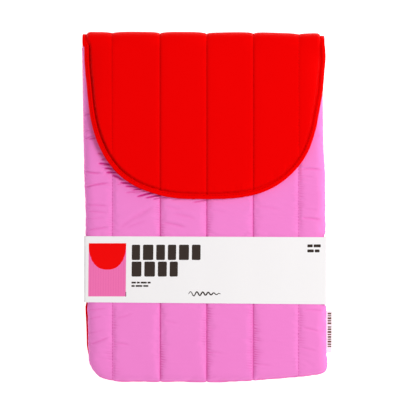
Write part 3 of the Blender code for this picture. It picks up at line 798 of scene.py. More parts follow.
PINK = (0.920, 0.249, 0.655)
RED = (0.88, 0.0006, 0.0006)
TAPE_WEAVE = dict(pitch=0.62, rough=0.62, bump=0.7, vary=0.12)
THREAD_WEAVE = dict(pitch=0.3, rough=0.5, bump=0.8)
LABEL_WEAVE = dict(pitch=0.5, rough=0.8, bump=1.0, vary=0.12)
PILE = dict(bump=0.9, distance=0.0004)
INK = dict(rough=0.42, bump=0.10)
MAT = {
    # deep is each cloth's painted shade colour, mixed in by the fold attribute
    "pink": woven("pink_nylon_cloth", PINK, dark=(0.78, 0.12, 0.48), vary=0.09,
                  deep=(0.64, 0.015, 0.25)),
    "red": woven("red_nylon_cloth", RED, dark=(0.72, 0.0004, 0.0004), vary=0.08,
                 deep=(0.26, 0.0002, 0.0002)),
    "lining": woven("red_lining_cloth", (0.66, 0.004, 0.006), dark=(0.45, 0.002, 0.003),
                    pitch=0.34, rough=0.45, vary=0.12, twill=0.5, sheen=0.05, spec=0.3),
    "tape": woven("red_binding_tape", (0.92, 0.0006, 0.0006), dark=(0.70, 0.0004, 0.0004),
                  sheen=0.05, spec=0.2, **TAPE_WEAVE),
    "pink_tape": woven("pink_binding_tape", PINK, dark=(0.70, 0.11, 0.45), **TAPE_WEAVE),
    # the sewing threads are darker than their cloth: painted shade of the grooves the quilting
    # lines sink into
    "pink_thread": woven("pink_sewing_thread", (0.72, 0.11, 0.43), dark=(0.50, 0.06, 0.28),
                         **THREAD_WEAVE),
    "red_thread": woven("red_sewing_thread", (0.66, 0.002, 0.002), dark=(0.42, 0.001, 0.001),
                        sheen=0.05, spec=0.2, **THREAD_WEAVE),
    "wadding": fibre("white_wadding_fibre", (0.88, 0.88, 0.86), scale=420.0),
    "loop": fibre("pink_loop_pile", (0.84, 0.20, 0.58), scale=900.0, rough=0.95, **PILE),
    "hook": fibre("red_hook_field", (0.62, 0.008, 0.012), scale=1100.0, rough=0.5, **PILE),
    "card": card("white_card_stock", (0.918, 0.892, 0.897), rough=0.50, bump=0.12, speck=0.012),
    "ink_dark": card("dark_ink", (0.045, 0.033, 0.028), speck=0.10, **INK),
    "ink_red": card("red_ink", (0.92, 0.004, 0.004), speck=0.02, spec=0.25, **INK),
    "ink_pink": card("pink_ink", (0.90, 0.18, 0.46), speck=0.02, **INK),
    "ink_rose": card("rose_ink", (0.82, 0.135, 0.40), speck=0.02, **INK),
    "glue": card("dried_glue_film", (0.78, 0.75, 0.66), rough=0.25, bump=0.3, speck=0.05),
    "label": woven("woven_label_cloth", (0.97, 0.965, 0.955), dark=(0.80, 0.78, 0.75),
                   **LABEL_WEAVE),
    "label_ink": woven("label_mark_thread", (0.16, 0.085, 0.045), dark=(0.07, 0.035, 0.02),
                       **LABEL_WEAVE),
}


# ================================================================ the body's two trays
def side_columns(width, inset, arc, flat):
    """Shares 0..1 from the outline to the outer line, close together where the side turns."""
    radius = HALF - inset
    near = radius * (1 - np.cos(np.linspace(0, math.pi / 2, arc)))
    return np.concatenate([near, np.linspace(radius, width, flat + 1)[1:]]) / width


def columns(per):
    """x of the columns between the outer quilting lines, closer together near each line."""
    t = np.linspace(0, 1, per + 1)
    share = t - 0.105 * np.sin(2 * np.pi * t)
    out = [SEAMS[0]]
    for a, b in zip(SEAMS, SEAMS[1:]):
        out += list(a + (b - a) * share[1:])
    return np.array(out)


def seam_column(k, per, arc, flat):
    """Column of a tray that lies on quilting line k."""
    return arc + flat - 1 + per * k


def tray_rows(zones, inset=0.0, arc=16):
    """Row distances from the bottom edge: a rounded start, then zones of (upper y, spacing)."""
    at = HALF - inset
    out = [at * (1 - np.cos(np.linspace(0, math.pi / 2, arc)))]
    for top, step in zones:
        end = top - Y_LOW - inset
        out.append(np.linspace(at, end, int(round((end - at) / step)) + 1)[1:])
        at = end
    return np.concatenate(out)


def tray(side, rows, inset, per, arc, flat, left=front_left):
    """Smooth surface of a body panel at rows from the bottom edge; side +1 is the front, -1
    the back. Returns the points and rad, which is 1 on the outline and 0 on the flat."""
    radius, corner = HALF - inset, CORNER_L - inset
    middle = columns(per)
    share = side_columns(29.6 - inset, inset, arc, flat)
    x = np.zeros((len(rows), 2 * len(share) + len(middle) - 2))
    y = np.zeros(x.shape)
    bottom = Y_LOW + inset
    for j, up in enumerate(rows):
        level = bottom + up
        x_left, x_right = left(level) + inset, right_edge(level) - inset
        if up < corner:
            x_left = x_left + corner - math.sqrt(max(0.0, corner * corner - (corner - up) ** 2))
        if up < radius:
            turn = 1 - up / radius
            x_right = x_right - radius * (1 - (1 - turn ** CORNER_POWER) ** (1 / CORNER_POWER))
        left_part = x_left + (SEAMS[0] - x_left) * share
        right_part = x_right + (SEAMS[-1] - x_right) * share
        x[j] = np.concatenate([left_part, middle[1:], right_part[::-1][1:]])
        fade = 1 - smooth((up - radius) / 70)
        y[j] = level + (bottom_edge(x[j]) - Y_LOW) * fade
    up = rows[:, None]
    level = bottom + up
    from_left, from_right = x - (left(level) + inset), (right_edge(level) - inset) - x
    in_corner = (from_left < corner) & (up < corner)
    round_corner = corner - np.hypot(corner - from_left, corner - up)
    edge = np.where(in_corner, round_corner, np.minimum(from_left, up))
    rad_left = np.clip(1 - edge / radius, 0, 1)
    a, b = np.clip(1 - from_right / radius, 0, 1), np.clip(1 - up / radius, 0, 1)
    rad_right = np.clip((a ** CORNER_POWER + b ** CORNER_POWER) ** (1 / CORNER_POWER), 0, 1)
    rad = np.where(x < 0, rad_left, rad_right)
    height = radius * np.clip(1 - rad ** FULL, 0, 1) ** (1 / FULL)
    gap = 0.12                                     # each panel stops this far from the seam
    z = Z_SEAM + side * (gap + height * (radius - gap) / radius)
    return np.stack([x, y, z], -1), rad


def tray_normals(points, side):
    """Outward normals of a tray, made to point away from the pocket."""
    normals = np.cross(np.gradient(points, axis=1), np.gradient(points, axis=0))
    normals /= np.maximum(np.linalg.norm(normals, axis=2, keepdims=True), 1e-9)
    x, y = points[..., 0], points[..., 1]
    centre = np.stack([x * 0.86, np.maximum(y, -168.0), np.full(x.shape, Z_SEAM)], -1)
    outward = points - centre
    outward[..., 2] += side * 0.5
    normals[(normals * outward).sum(-1) < 0] *= -1
    # on the sewn edge itself the surface is upright: look straight outwards
    normals[:, 0] = [-1, 0, 0]
    normals[:, -1] = [1, 0, 0]
    normals[0, 1:-1] = [0, -1, 0]
    return normals


def tag_room(points):
    """Draws the right side in round the tag, clear of it wherever it swings."""
    hinge, reach = TAG_LO[0] - 0.9 - X_CENTRE, TAG_HI[0] - TAG_LO[0] + 0.9
    x, y = points[..., 0], points[..., 1]
    height = np.abs(points[..., 2] - Z_SEAM)
    limit = hinge + 0.268 * height - 0.60 - 0.85 * np.clip(height / reach, 0, 1) ** 2
    beside = rise(y, TAG_LO[1] - 4.5, 3.5) * fall(y, TAG_HI[1] + 4.5, 3.5)
    here = beside * (1 - rise(height, 8.4, 3.0))
    out = points.copy()
    out[..., 0] -= np.clip(x - limit, 0, None) * here * (x > 90)
    return out


# ================================================================ cloth simulation
SIM_SCALE = 0.01                                   # mm to solver units
CLOTH = dict(
    quality=5, mass=0.15, tension_stiffness=25, compression_stiffness=18, shear_stiffness=8,
    bending_stiffness=0.35, tension_damping=12, compression_damping=12, shear_damping=12,
    air_damping=4, pin_stiffness=5, use_pressure=True,
)


def simulate(points, pins, pressure, shrink, frames, cap):
    """Blows a grid of cloth up between its pins; returns each point's move, at most cap mm."""
    n, m = points.shape[:2]
    i = np.arange(n * m).reshape(n, m)
    faces = np.stack([i[:-1, :-1], i[:-1, 1:], i[1:, 1:], i[1:, :-1]], -1).reshape(-1, 4).tolist()
    mesh = bpy.data.meshes.new("cloth_work")
    mesh.from_pydata((points.reshape(-1, 3) * SIM_SCALE).tolist(), [], faces)
    obj = bpy.data.objects.new("cloth_work", mesh)
    COLLECTION.objects.link(obj)
    group = obj.vertex_groups.new(name="pin")
    group.add(np.nonzero(pins.ravel())[0].tolist(), 1.0, "REPLACE")
    modifier = obj.modifiers.new("Cloth", "CLOTH")
    settings = modifier.settings
    for key, value in CLOTH.items():
        setattr(settings, key, value)
    settings.vertex_group_mass = "pin"
    settings.shrink_min = settings.shrink_max = shrink
    settings.effector_weights.gravity = 0
    settings.uniform_pressure_force = pressure
    modifier.collision_settings.use_collision = False
    modifier.collision_settings.use_self_collision = False
    modifier.point_cache.frame_start, modifier.point_cache.frame_end = 1, frames
    scene = bpy.context.scene
    for number in range(1, frames + 1):
        scene.frame_set(number)
    evaluated = obj.evaluated_get(bpy.context.evaluated_depsgraph_get())
    out = np.zeros(n * m * 3, np.float32)
    evaluated.data.vertices.foreach_get("co", out)
    out = out.reshape(n, m, 3).astype(float) * 100
    bpy.data.objects.remove(obj)
    scene.frame_set(1)
    move = out - points
    length = np.linalg.norm(move, axis=2, keepdims=True)
    return move * np.minimum(1, cap / np.maximum(length, 1e-9))


def stretch(field, places, count):
    """Spreads the second axis of a field of vectors from places to all of count."""
    return np.stack([
        [np.interp(np.arange(count), places, line) for line in field[..., k]] for k in range(3)
    ], -1)


def inflate(outer, pins, mirrored=False, **settings):
    """Simulates every other row and column of a panel, and spreads the moves over it all."""
    n, m = outer.shape[:2]
    rows, cols = picks(n, 2), picks(m, 2)
    kept = np.ix_(rows, cols)
    order = slice(None, None, -1 if mirrored else 1)   # the face winding sets the way it swells
    move = simulate(outer[kept][:, order], pins[kept][:, order], **settings)[:, order]
    move[~np.isfinite(move)] = 0
    out = stretch(stretch(move, cols, m).swapaxes(0, 1), rows, n).swapaxes(0, 1)
    for _ in range(2):
        soft = out.copy()
        beside = out[:-2, 1:-1] + out[2:, 1:-1] + out[1:-1, :-2] + out[1:-1, 2:]
        soft[1:-1, 1:-1] = (out[1:-1, 1:-1] * 4 + beside) / 8
        out = soft
    return out


def on_lines(x):
    return np.abs(seam_distance(x)[0]) < 0.4


def off_lines(x):
    """0 on the quilting lines, 1 away from them."""
    return rise(np.abs(seam_distance(x)[0]), 0.7, 2.6)[..., None]


def body_pins(x, y):
    """The quilting lines, the panel's rim and the cloth under the band are held."""
    pins = on_lines(x) | ((y < BAND_HI[1] + 1) & (y > BAND_LO[1] - 1))
    pins[[0, -1], :] = True
    pins[:, [0, -1]] = True
    return pins


# ================================================================ linings
def lining_noise(x, y, seed):
    return 0.22 * noise2(x / 15, y / 24, seed) + 0.10 * noise2(x / 6, y / 7, seed + 1)


def lining_tray(side, top, inset, left=front_left):
    return tray(side, tray_rows([(top, 3.6)], inset, 9), inset, left=left, **LINING_GRID)[0]


# ================================================================ front panel
def build_front():
    """Returns the outer cloth's points and normals for the threads."""
    rows = tray_rows([(-103, 0.66), (-28, 2.0), (62, 0.58), (102, 0.9), (FRONT_TOP, 1.4)])
    base, rad = tray(1, rows, 0.0, **FRONT_GRID)
    normals = tray_normals(base, 1)
    x, y = base[..., 0], base[..., 1]
    # flat under the patch, and thinner towards the mouth
    pressed = fall(np.abs(x - PATCH_X), PATCH_W / 2 + 4, 4)
    pressed = pressed * fall(np.abs(y - PATCH_Y), PATCH_H / 2 + 4, 4)
    # fold is the painted shade that the pink cloth mixes in; there is none under the patch
    relief, fold = front_relief(x, y, rad, under_band(y))
    fold = fold * (1 - pressed)
    relief = relief * (1 - pressed) - 0.8 * pressed
    relief = relief - 0.8 * rise(y, FRONT_TOP - 7, 7)
    outer = base + normals * relief[..., None]
    # a little air and spare length, so that the cloth gathers by itself
    pins = body_pins(x, y) | (pressed > 0.5)
    move = inflate(outer, pins, pressure=0.42, shrink=-0.010, frames=22, cap=0.75)
    outer = outer + move * off_lines(x)
    outer = tag_room(outer)
    inner_rows = tray_rows([(FRONT_TOP, 1.3)], SHELL)
    shares = np.linspace(0, 1, len(rows)), np.linspace(0, 1, len(inner_rows))
    inner, _ = tray(1, np.interp(*shares, inner_rows), SHELL, **FRONT_GRID)
    n, m = outer.shape[:2]
    obj = panel_solid("front_panel_cloth", outer, inner, fabric_uv(base), picks(n, 8),
                      column_picks(m, 8, FRONT_GRID["arc"]), [MAT["pink"], MAT["wadding"]],
                      inner_mat=1, fold=fold)
    attach(obj, "sleeve", "pink_nylon", "front_shell", "front_wadding")
    return outer, normals


def build_front_lining():
    outer = lining_tray(1, FRONT_TOP - 0.5, LINING_OUT)
    inner = lining_tray(1, FRONT_TOP - 0.5, LINING_IN)
    middle = inner[1:-1, 1:-1]
    middle[..., 2] -= 0.3 + lining_noise(middle[..., 0], middle[..., 1], 91)
    obj = sheet("front_lining_cloth", outer, inner, MAT["lining"])
    attach(obj, "sleeve", "red_lining", "front_lining")


front_outer, front_normals = build_front()
build_front_lining()


# ================================================================ the red panel's path
def path_point(run, depth):
    """(y, z) at run along the red panel and depth below its outer face."""
    run, depth = np.broadcast_arrays(np.asarray(run, float), np.asarray(depth, float))
    radius = BEND_R - depth
    first, second = run / BEND_R, (run - ARC - SPINE) / BEND_R
    zones = [run < 0, run < ARC, run < RUN_BEND_2, run < RUN_END]
    y = np.select(zones, [
        Y_BEND + run,
        Y_BEND + radius * np.sin(first),
        Y_TOP - depth,
        Y_BEND + radius * np.cos(second),
    ], Y_BEND - (run - RUN_END))
    z = np.select(zones, [
        Z_BACK + depth,
        Z_BEND_1 - radius * np.cos(first),
        Z_BEND_1 + (run - ARC),
        Z_BEND_2 + radius * np.sin(second),
    ], Z_TOP - depth)
    return y, z


def path_outward(run, depth=1.0):
    """(y, z) direction out of the red panel."""
    y0, z0 = path_point(run, depth - 1)
    y1, z1 = path_point(run, depth)
    return y0 - y1, z0 - z1


def sink_of(x, run):
    """How far the flap sinks: over the body's rounded sides, and towards its tip."""
    side = np.clip((np.abs(x - FLAP_X) - 105) / 21.0, 0, 1.2) ** 2 * 4.2
    tip = 1.7 * fall(Y_BEND - (run - RUN_END), 75, 65)
    return (side + tip) * rise(run, RUN_END, 26)


def upper_surface(x, run, depth):
    y, z = path_point(run, depth)
    return np.stack([x, y, z - sink_of(x, run)], -1)


def tube_rows(last, runs, inset):
    """The red panel's rows past its tray, as (run, x, depth, share opened): the curled sides
    of the tray's last row open out flat as the panel goes over the fold."""
    x, depth = last[:, 0], last[:, 2] - Z_BACK - inset
    left = np.nonzero(x < SEAMS[0] - 1e-6)[0][-1] + 1
    right = np.nonzero(x > SEAMS[-1] + 1e-6)[0][0] - 1
    place = lengths_along(last[:, [0, 2]])
    trim = 0.25 * inset
    flat_x = x.copy()
    from_end = place[: left + 1] / place[left]
    flat_x[: left + 1] = FOLD_L + trim + (SEAMS[0] - FOLD_L - trim) * from_end
    to_end = (place[right:] - place[right]) / (place[-1] - place[right])
    flat_x[right:] = SEAMS[-1] + (FOLD_R - trim - SEAMS[-1]) * to_end
    for run in runs:
        opened = smooth((run + 8.5) / 12.0)
        yield run, x * (1 - opened) + flat_x * opened, depth * (1 - opened) + inset, opened


def inner_tube(last, runs, inset, clear):
    """An inner face over the fold, kept clear of the bend's centre."""
    out = []
    for run, x, depth, _ in tube_rows(last, runs, inset):
        y, z = path_point(run, np.minimum(depth, BEND_R - clear + 20.0 * (run < 0)))
        out.append(np.stack([x, y, z], 1))
    return np.array(out)


# ================================================================ back and lower half of the fold
LOWER_RUN = legs(-9.0, (0, 7), (ARC, 12), (RUN_MID, 8))[1:]


def build_lower():
    """Returns the outer grid, the tray's normals, and the fold's two edges as rows of
    run, left x, right x, left depth, right depth, share opened."""
    rows = tray_rows([(Y_TRAY, 1.5)])
    base, rad = tray(-1, rows, 0.0, left=back_left, **BACK_GRID)
    normals = tray_normals(base, -1)
    x, y = base[..., 0], base[..., 1]
    relief = body_quilt(x, y, rad, depth=1.8, spread=13.0, pucker=0.26, seed=31)
    relief = relief + wide_drift(x, y, seed=41, amount=0.30)
    relief = np.minimum(relief, 0.12) - 0.12 * under_band(y)
    outer = base + normals * relief[..., None]
    move = inflate(outer, body_pins(x, y), mirrored=True,
                   pressure=0.6, shrink=-0.011, frames=20, cap=0.9)
    # the lowest cloth may not sag far below the body
    lowest = base[..., 2] < Z_SEAM - HALF + 2.0
    move[..., 2] = np.where(lowest, np.maximum(move[..., 2], -0.5), move[..., 2])
    move *= off_lines(x)
    outer = outer + move * fall(y, Y_TRAY, 12)[..., None]
    outer = tag_room(outer)
    inner, _ = tray(-1, tray_rows([(Y_TRAY, 1.5)], SHELL), SHELL, left=back_left, **BACK_GRID)

    fold_rows, edges = [], []
    for run, x, depth, opened in tube_rows(base[-1], LOWER_RUN, 0.0):
        turned = smooth((run + 6) / 9)
        height = relief[-1] * (1 - turned) + fold_relief(x, run) * turned
        tilt = np.clip(depth / HALF, 0, 1) * (1 - turned)   # curled relief points sideways
        y, z = path_point(run, np.maximum(depth - height * (1 - tilt), -0.8))
        fold_rows.append(np.stack([x + np.sign(x) * height * tilt, y, z], 1))
        edges.append((run, x[0], x[-1], depth[0], depth[-1], opened))
    outer = np.concatenate([outer, np.array(fold_rows)])
    inner = np.concatenate([inner, inner_tube(inner[-1], LOWER_RUN, SHELL, clear=0.9)])
    n, m = outer.shape[:2]
    kept_rows = sorted(set(picks(n, 6)) | set(range(len(rows) - 1, n, 2)) | {n - 1})
    obj = panel_solid("red_panel_lower_cloth", outer, inner, fabric_uv(outer), kept_rows,
                      column_picks(m, 6, BACK_GRID["arc"]), [MAT["red"], MAT["wadding"]],
                      inner_mat=1)
    attach(obj, FIRST_BEND, "red_nylon", "back_shell", "back_wadding")
    return outer, normals, np.array(edges)


def build_lower_lining():
    outer = lining_tray(-1, Y_TRAY, LINING_OUT, back_left)
    inner = lining_tray(-1, Y_TRAY, LINING_IN, back_left)
    runs = legs(-9.0, (0, 4), (ARC, 8), (RUN_MID, 4))[1:]
    outer_tube = inner_tube(outer[-1], runs, LINING_OUT, clear=1.1)
    far_tube = inner_tube(inner[-1], runs, LINING_IN, clear=0.7)
    middle = inner[1:, 1:-1]
    waves = lining_noise(middle[..., 0], middle[..., 1], 95)
    middle[..., 2] += 0.3 + waves * fall(middle[..., 1], Y_TRAY, 10)
    middle = far_tube[:, 1:-1]
    middle[..., 2] += 0.3 * fall(middle[..., 1], Y_BEND, 8) * (middle[..., 2] < Z_BEND_1)
    obj = sheet("red_lining_lower_cloth", np.concatenate([outer, outer_tube]),
                np.concatenate([inner, far_tube]), MAT["lining"])
    attach(obj, FIRST_BEND, "red_lining", "back_lining")


lower_outer, back_normals, fold_edges = build_lower()
build_lower_lining()


# ================================================================ upper half of the fold and flap
def upper_grid(per, flat, fold_runs, steps, edge=0.0):
    """x and run of each point of the upper red panel; columns stay on the quilting lines."""
    middle = columns(per)
    share = 1 - (1 - np.linspace(0, 1, flat)) ** 1.35

    def row(left, right):
        left_part = SEAMS[0] + (left - SEAMS[0]) * share
        right_part = SEAMS[-1] + (right - SEAMS[-1]) * share
        return np.concatenate([left_part[::-1][:-1], middle, right_part[1:]])

    xs = [row(FOLD_L + edge, FOLD_R - edge) for _ in fold_runs]
    runs = [np.full(len(xs[0]), run) for run in fold_runs]
    end = flap_end(middle) + edge
    down = 1 - (1 - np.linspace(0, 1, steps)) ** 1.12
    for t in down[1:]:
        y = Y_BEND + (end - Y_BEND) * t
        left, right = flap_sides(y[0])[0] + edge, flap_sides(y[-1])[1] - edge
        k = smooth((Y_BEND - y[0]) / 14)
        left = min((FOLD_L + edge) * (1 - k) + left * k, SEAMS[0])
        right = max((FOLD_R - edge) * (1 - k) + right * k, SEAMS[-1])
        if t == down[-1]:
            left, right = SEAMS[0], SEAMS[-1]
        xs.append(row(left, right))
        sides = np.full(flat - 1, y[0]), np.full(flat - 1, y[-1])
        runs.append(RUN_END + Y_BEND - np.concatenate([sides[0], y, sides[1]]))
    return np.array(xs), np.array(runs)


def quilted_border(x, y):
    """Distance to the edge of the quilted part, and place along that edge, in mm."""
    border = np.concatenate([
        [[FOLD_L, Y_TOP + 60], [FOLD_L, Y_BEND + 6]],
        QUILT_EDGE[QUILT_EDGE[:, 1] < Y_BEND - 8],
        [[FOLD_R, Y_BEND + 6], [FOLD_R, Y_TOP + 60]],
    ])
    step = 0.5
    border = resample(border, np.arange(0, lengths_along(border)[-1], step))
    distance, nearest = polyline_distance(x, y, border)
    distance[:, [0, -1]] = 0
    distance[-1] = 0
    return distance, nearest * step


def flap_relief(x, y, edge, place, flat_share):
    """Relief and painted shade of the flap; edge is the distance to its quilted border."""
    # a trough runs inside the binding, deeper on the left; thread gathers the cloth along it
    deep = 3.9 - 1.4 * rise(x, 20, 80) * (y > 12) - 0.9 * fall(y, 30, 20)
    patches = 0.35 + 0.65 * smooth(noise2(place / 24, 8.0, 59) + 0.5)
    gathered = noise2(place / 1.7, 3.0, 56) * patches
    rim = -deep * round_off(np.clip((edge - 1.45 - 0.45 * gathered) / 2.6, 0, 1))
    rim = rim + 0.26 * gathered * bell(edge, 3.6, 2.4)
    relief = quilt(x, y, depth=1.45, spread=12.0, pucker=0.10, seed=51)
    # ripples just inside the lower edge
    low_edge = bell(edge, 5.5, 4.0) * fall(y, 60, 25)
    patches = 0.4 + 0.6 * smooth(noise2(x / 22, y / 60, 58) + 0.6)
    ripples = 0.42 * low_edge * noise2(x / 1.9, y / 30, 57) * patches
    relief = np.maximum(relief, -2.4) + rim + ripples
    relief = relief + wide_drift(x, y, seed=61, amount=0.26)
    # painted shade in the trough, darkest on the left, away from the light, and away from the tip
    trough = 0.62 * (0.72 + 0.28 * gathered) * np.clip(1 - np.abs(edge - 2.2) / 2.2, 0, 1)
    trough = trough * (1 - 0.55 * rise(x, 20, 80)) * (1 - 0.55 * fall(y, 62, 40))
    fold = np.maximum(trough, 0.30 * seam_shade(x, left=0.8, right=1.0))
    return relief, fold * flat_share


def build_upper():
    """Returns the outer grid, its runs and its distances to the quilted border."""
    fold_runs = legs(RUN_MID, (RUN_BEND_2, 8), (RUN_END, 14))
    x, run = upper_grid(FLAP_PER, FLAP_FLAT, fold_runs, steps=150)
    y = Y_BEND + (RUN_END - run)
    edge, place = quilted_border(x, y)
    on_fold = 1 - rise(run, RUN_END, 10)
    # fold is the flap's painted shade; the bend over the top gets none
    relief, fold = flap_relief(x, y, edge, place, 1 - on_fold)
    relief = relief * (1 - on_fold) + fold_relief(x, run) * on_fold
    outer = upper_surface(x, run, -np.clip(relief, -4.2, 0.8))
    corners = (run > RUN_END + 105) & ((x < SEAMS[0]) | (x > SEAMS[-1]))
    pins = on_lines(x) | (edge < 1.0) | (run < RUN_END + 4) | corners
    opened = outer.copy()
    opened[-1, : FLAP_FLAT - 1, 0] -= 0.01     # keeps the left corner open for the solver
    move = inflate(opened, pins, mirrored=True,
                   pressure=0.3, shrink=-0.007, frames=20, cap=0.5)
    move *= off_lines(x)
    move = move * rise(run, RUN_END + 6, 20)[..., None] * rise(edge, 2.0, 4)[..., None]
    outer = outer + move
    inner = upper_surface(x, run, SHELL - 0.9 * fall(edge, 2.5, 2.5))
    n, m = outer.shape[:2]
    rows = sorted(set(picks(n, 5)) | set(range(0, len(fold_runs) + 2, 2)))
    cols = sorted(set(picks(m, 6)) | {0, 4, 8, 12, 16, 20, FLAP_FLAT - 1})
    obj = panel_solid("red_panel_upper_cloth", outer, inner, fabric_uv(outer), rows, cols,
                      [MAT["red"], MAT["wadding"]], edge_mat=1, inner_mat=1, fold=fold)
    tidy(obj, merge=True)
    attach(obj, SECOND_BEND, "red_nylon",
           "spine_shell", "spine_wadding", "flap_shell", "flap_wadding")
    return outer, run, edge


def build_upper_lining():
    x, run = upper_grid(12, 8, legs(RUN_MID, (RUN_BEND_2, 4), (RUN_END, 8)), steps=46, edge=0.6)
    waves = 0.5 * lining_noise(x, run, 97) * rise(run, RUN_END, 20)
    outer = upper_surface(x, run, LINING_OUT)
    inner = upper_surface(x, run, LINING_IN + np.minimum(waves, 0.1))
    obj = tidy(sheet("red_lining_upper_cloth", outer, inner, MAT["lining"]), merge=True)
    attach(obj, SECOND_BEND, "red_lining", "spine_lining", "flap_lining")


upper_outer, upper_run, upper_edge = build_upper()
build_upper_lining()


# ================================================================ bindings
def path_frame(path, up):
    """Side and up directions square to a path."""
    tangent = unit(np.gradient(path, axis=0))
    up = unit(up - tangent * (up * tangent).sum(1)[:, None])
    return np.cross(tangent, up), up


def tape_sections(path, width, height, radius, seed, amount=0.10):
    """A tape's rounded section at every station, a little uneven in height and place."""
    base = np.array(rounded_box(-width / 2, -height / 2, width / 2, height / 2, radius, 4))
    out = []
    for place in lengths_along(path):
        section = base.copy()
        section[:, 1] *= 1 + amount * 0.6 * noise2(place / 3.1, 2.0, seed)
        section[:, 0] += amount * noise2(place / 7.7, 9.0, seed + 1)
        out.append(section)
    return out


def build_flap_binding():
    centre = FLAP_EDGE + FLAP_INWARD * (BINDING_W / 2)
    centre = centre[centre[:, 1] < Y_BEND - 7][::5]
    fold = legs(RUN_MID, (RUN_BEND_2, 6), (RUN_END, 11), (RUN_END + 5, 2))
    left, right = np.full(len(fold), FOLD_L - BINDING_OUT), np.full(len(fold), FOLD_R + BINDING_OUT)
    x = np.concatenate([left, centre[:, 0], right])
    run = np.concatenate([fold, RUN_END + Y_BEND - centre[:, 1], fold[::-1]])
    depth = BINDING_DEPTH + 1.1 * fall(run, RUN_END + 8, 14)   # deeper on the fold
    path = upper_surface(x, run, depth)
    slope = sink_of(x + 0.5, run) - sink_of(x - 0.5, run)
    side, up = path_frame(path, np.stack([slope, *path_outward(run, depth)], 1))
    sections = tape_sections(path, BINDING_W, height=3.9, radius=1.25, seed=301)
    obj = sweep("flap_binding_tape", path, side, up, sections, MAT["tape"])
    attach(obj, SECOND_BEND, "red_binding", "flap_binding")
    # the sewn line runs just inside the tape's inner edge
    inward = np.stack([FLAP_X - x, 90 - path_point(run, depth)[0], 0 * x], 1)
    sign = np.where((side * inward).sum(1) > 0, 1, -1)[:, None]
    line = path + side * sign * (BINDING_W / 2 - 1.25) + up * 2.12
    obj = stitches("flap_binding_stitches", line[8:-8], up[8:-8], MAT["red_thread"],
                   **BINDING_STITCH)
    attach(obj, SECOND_BEND, "red_thread")


def build_fold_bindings():
    run, x_left, x_right, depth_left, depth_right, opened = fold_edges[1:].T
    ends = (-1, "left", x_left, depth_left), (1, "right", x_right, depth_right)
    for sign, word, x_end, depth_end in ends:
        depth = depth_end * 0.88 + (BINDING_DEPTH + 1.1 * smooth(run / 10)) * opened
        depth = np.where(run >= 0, np.minimum(depth, BEND_R - 1.2), depth)
        x = x_end + sign * (BINDING_OUT * opened - 1.6 * (1 - opened))
        path = np.stack([x, *path_point(run, depth)], 1)
        up = np.stack([sign * 0.9 * (1 - opened), *path_outward(run, depth)], 1)
        side, up = path_frame(path, up)
        sections = tape_sections(path, BINDING_W, height=4.3, radius=1.7, seed=311)
        for i in range(5):                         # the tape starts thin on the body
            sections[i] = sections[i] * (0.45 + 0.11 * i)
        obj = sweep(f"fold_binding_{word}_tape", path, side, up, sections, MAT["tape"])
        attach(obj, FIRST_BEND, "red_binding", f"spine_binding_{word}")


def build_mouth_binding():
    rows = np.array([MOUTH_Y - Y_LOW - 2.6])
    line = tray(1, rows, PANEL / 2 + 0.1, **FRONT_GRID)[0][0]
    notch = quilt(line[:, 0], 3.0, depth=0.9, spread=12.0, pucker=0.05, seed=71)
    lengths = lengths_along(line)
    places = np.linspace(0, lengths[-1], 150)
    path = resample(line, places)
    path[:, 2] += np.interp(places, lengths, notch)
    path[:, 1] += 0.25 * noise2(places / 30, 2.0, 73)
    path[:, 0] *= 1 - 0.012 * rise(np.abs(path[:, 0]), 100, 20)
    up = np.cross([0, 1.0, 0], unit(np.gradient(path, axis=0)))
    centre = np.stack([path[:, 0] * 0.9, path[:, 1], np.full(len(path), Z_SEAM)], 1)
    up[((path - centre) * up).sum(1) < 0] *= -1
    side, up = path_frame(path, up)
    sections = tape_sections(path, 5.4, height=5.9, radius=2.2, seed=321, amount=0.05)
    obj = sweep("mouth_binding_tape", path, side, up, sections, MAT["pink_tape"])
    attach(obj, "sleeve", "pink_binding", "mouth_binding")
    sign = -1 if side[len(side) // 2, 1] > 0 else 1
    line = path + side * sign * 1.7 + up * 2.9
    obj = stitches("mouth_binding_stitches", line[6:-6], up[6:-6], MAT["pink_thread"],
                   **BINDING_STITCH)
    attach(obj, "sleeve", "pink_thread")


build_flap_binding()
build_fold_bindings()
build_mouth_binding()


# ================================================================ quilting threads
THREAD_LIFT = 0.10


def build_threads():
    """Five threads each on the front, the back and the flap."""
    for k in range(5):
        column = seam_column(k, **FRONT_GRID)
        up = front_normals[:, column]
        line = front_outer[:, column] + up * THREAD_LIFT
        obj = stitches(f"front_quilting_thread_{k + 1}", line[3:-4], up[3:-4], MAT["pink_thread"])
        attach(obj, "sleeve", "pink_thread", f"front_stitch_{k + 1}")
    fold_up = np.stack([0 * LOWER_RUN, *path_outward(LOWER_RUN)], 1)
    for k in range(5):
        column = seam_column(k, **BACK_GRID)
        up = np.concatenate([back_normals[:, column], fold_up])
        line = lower_outer[:, column] + up * THREAD_LIFT
        obj = stitches(f"back_quilting_thread_{k + 1}", line[3:], up[3:], MAT["red_thread"])
        attach(obj, FIRST_BEND, "red_thread", f"back_stitch_{k + 1}")
    for k in range(5):
        column = FLAP_FLAT - 1 + FLAP_PER * k
        run = upper_run[:, column]
        up = np.stack([0 * run, *path_outward(run)], 1)
        line = upper_outer[:, column] + up * THREAD_LIFT
        stop = np.argmax(upper_edge[:, column] < 5.0)   # the thread ends short of the binding
        obj = stitches(f"flap_quilting_thread_{k + 1}", line[:stop], up[:stop], MAT["red_thread"])
        attach(obj, SECOND_BEND, "red_thread", f"spine_stitch_{k + 1}", f"flap_stitch_{k + 1}")


build_threads()

# ================================================================ the card band
CARD_T = 0.35
CARD_L, CARD_R = -126.75, 127.35                   # outermost x of the band
CARD_TOP = BAND_HI[2]
TURN_L, TURN_R = 3.0, 1.5                          # radius of the card's turned corners
CARD_BOW = 0.35                                    # how far its sides draw in


def band_edge(x):
    """y of the band's upper and lower edge."""
    return -30.05 - 0.004 * x, -99.6 - 0.0085 * x


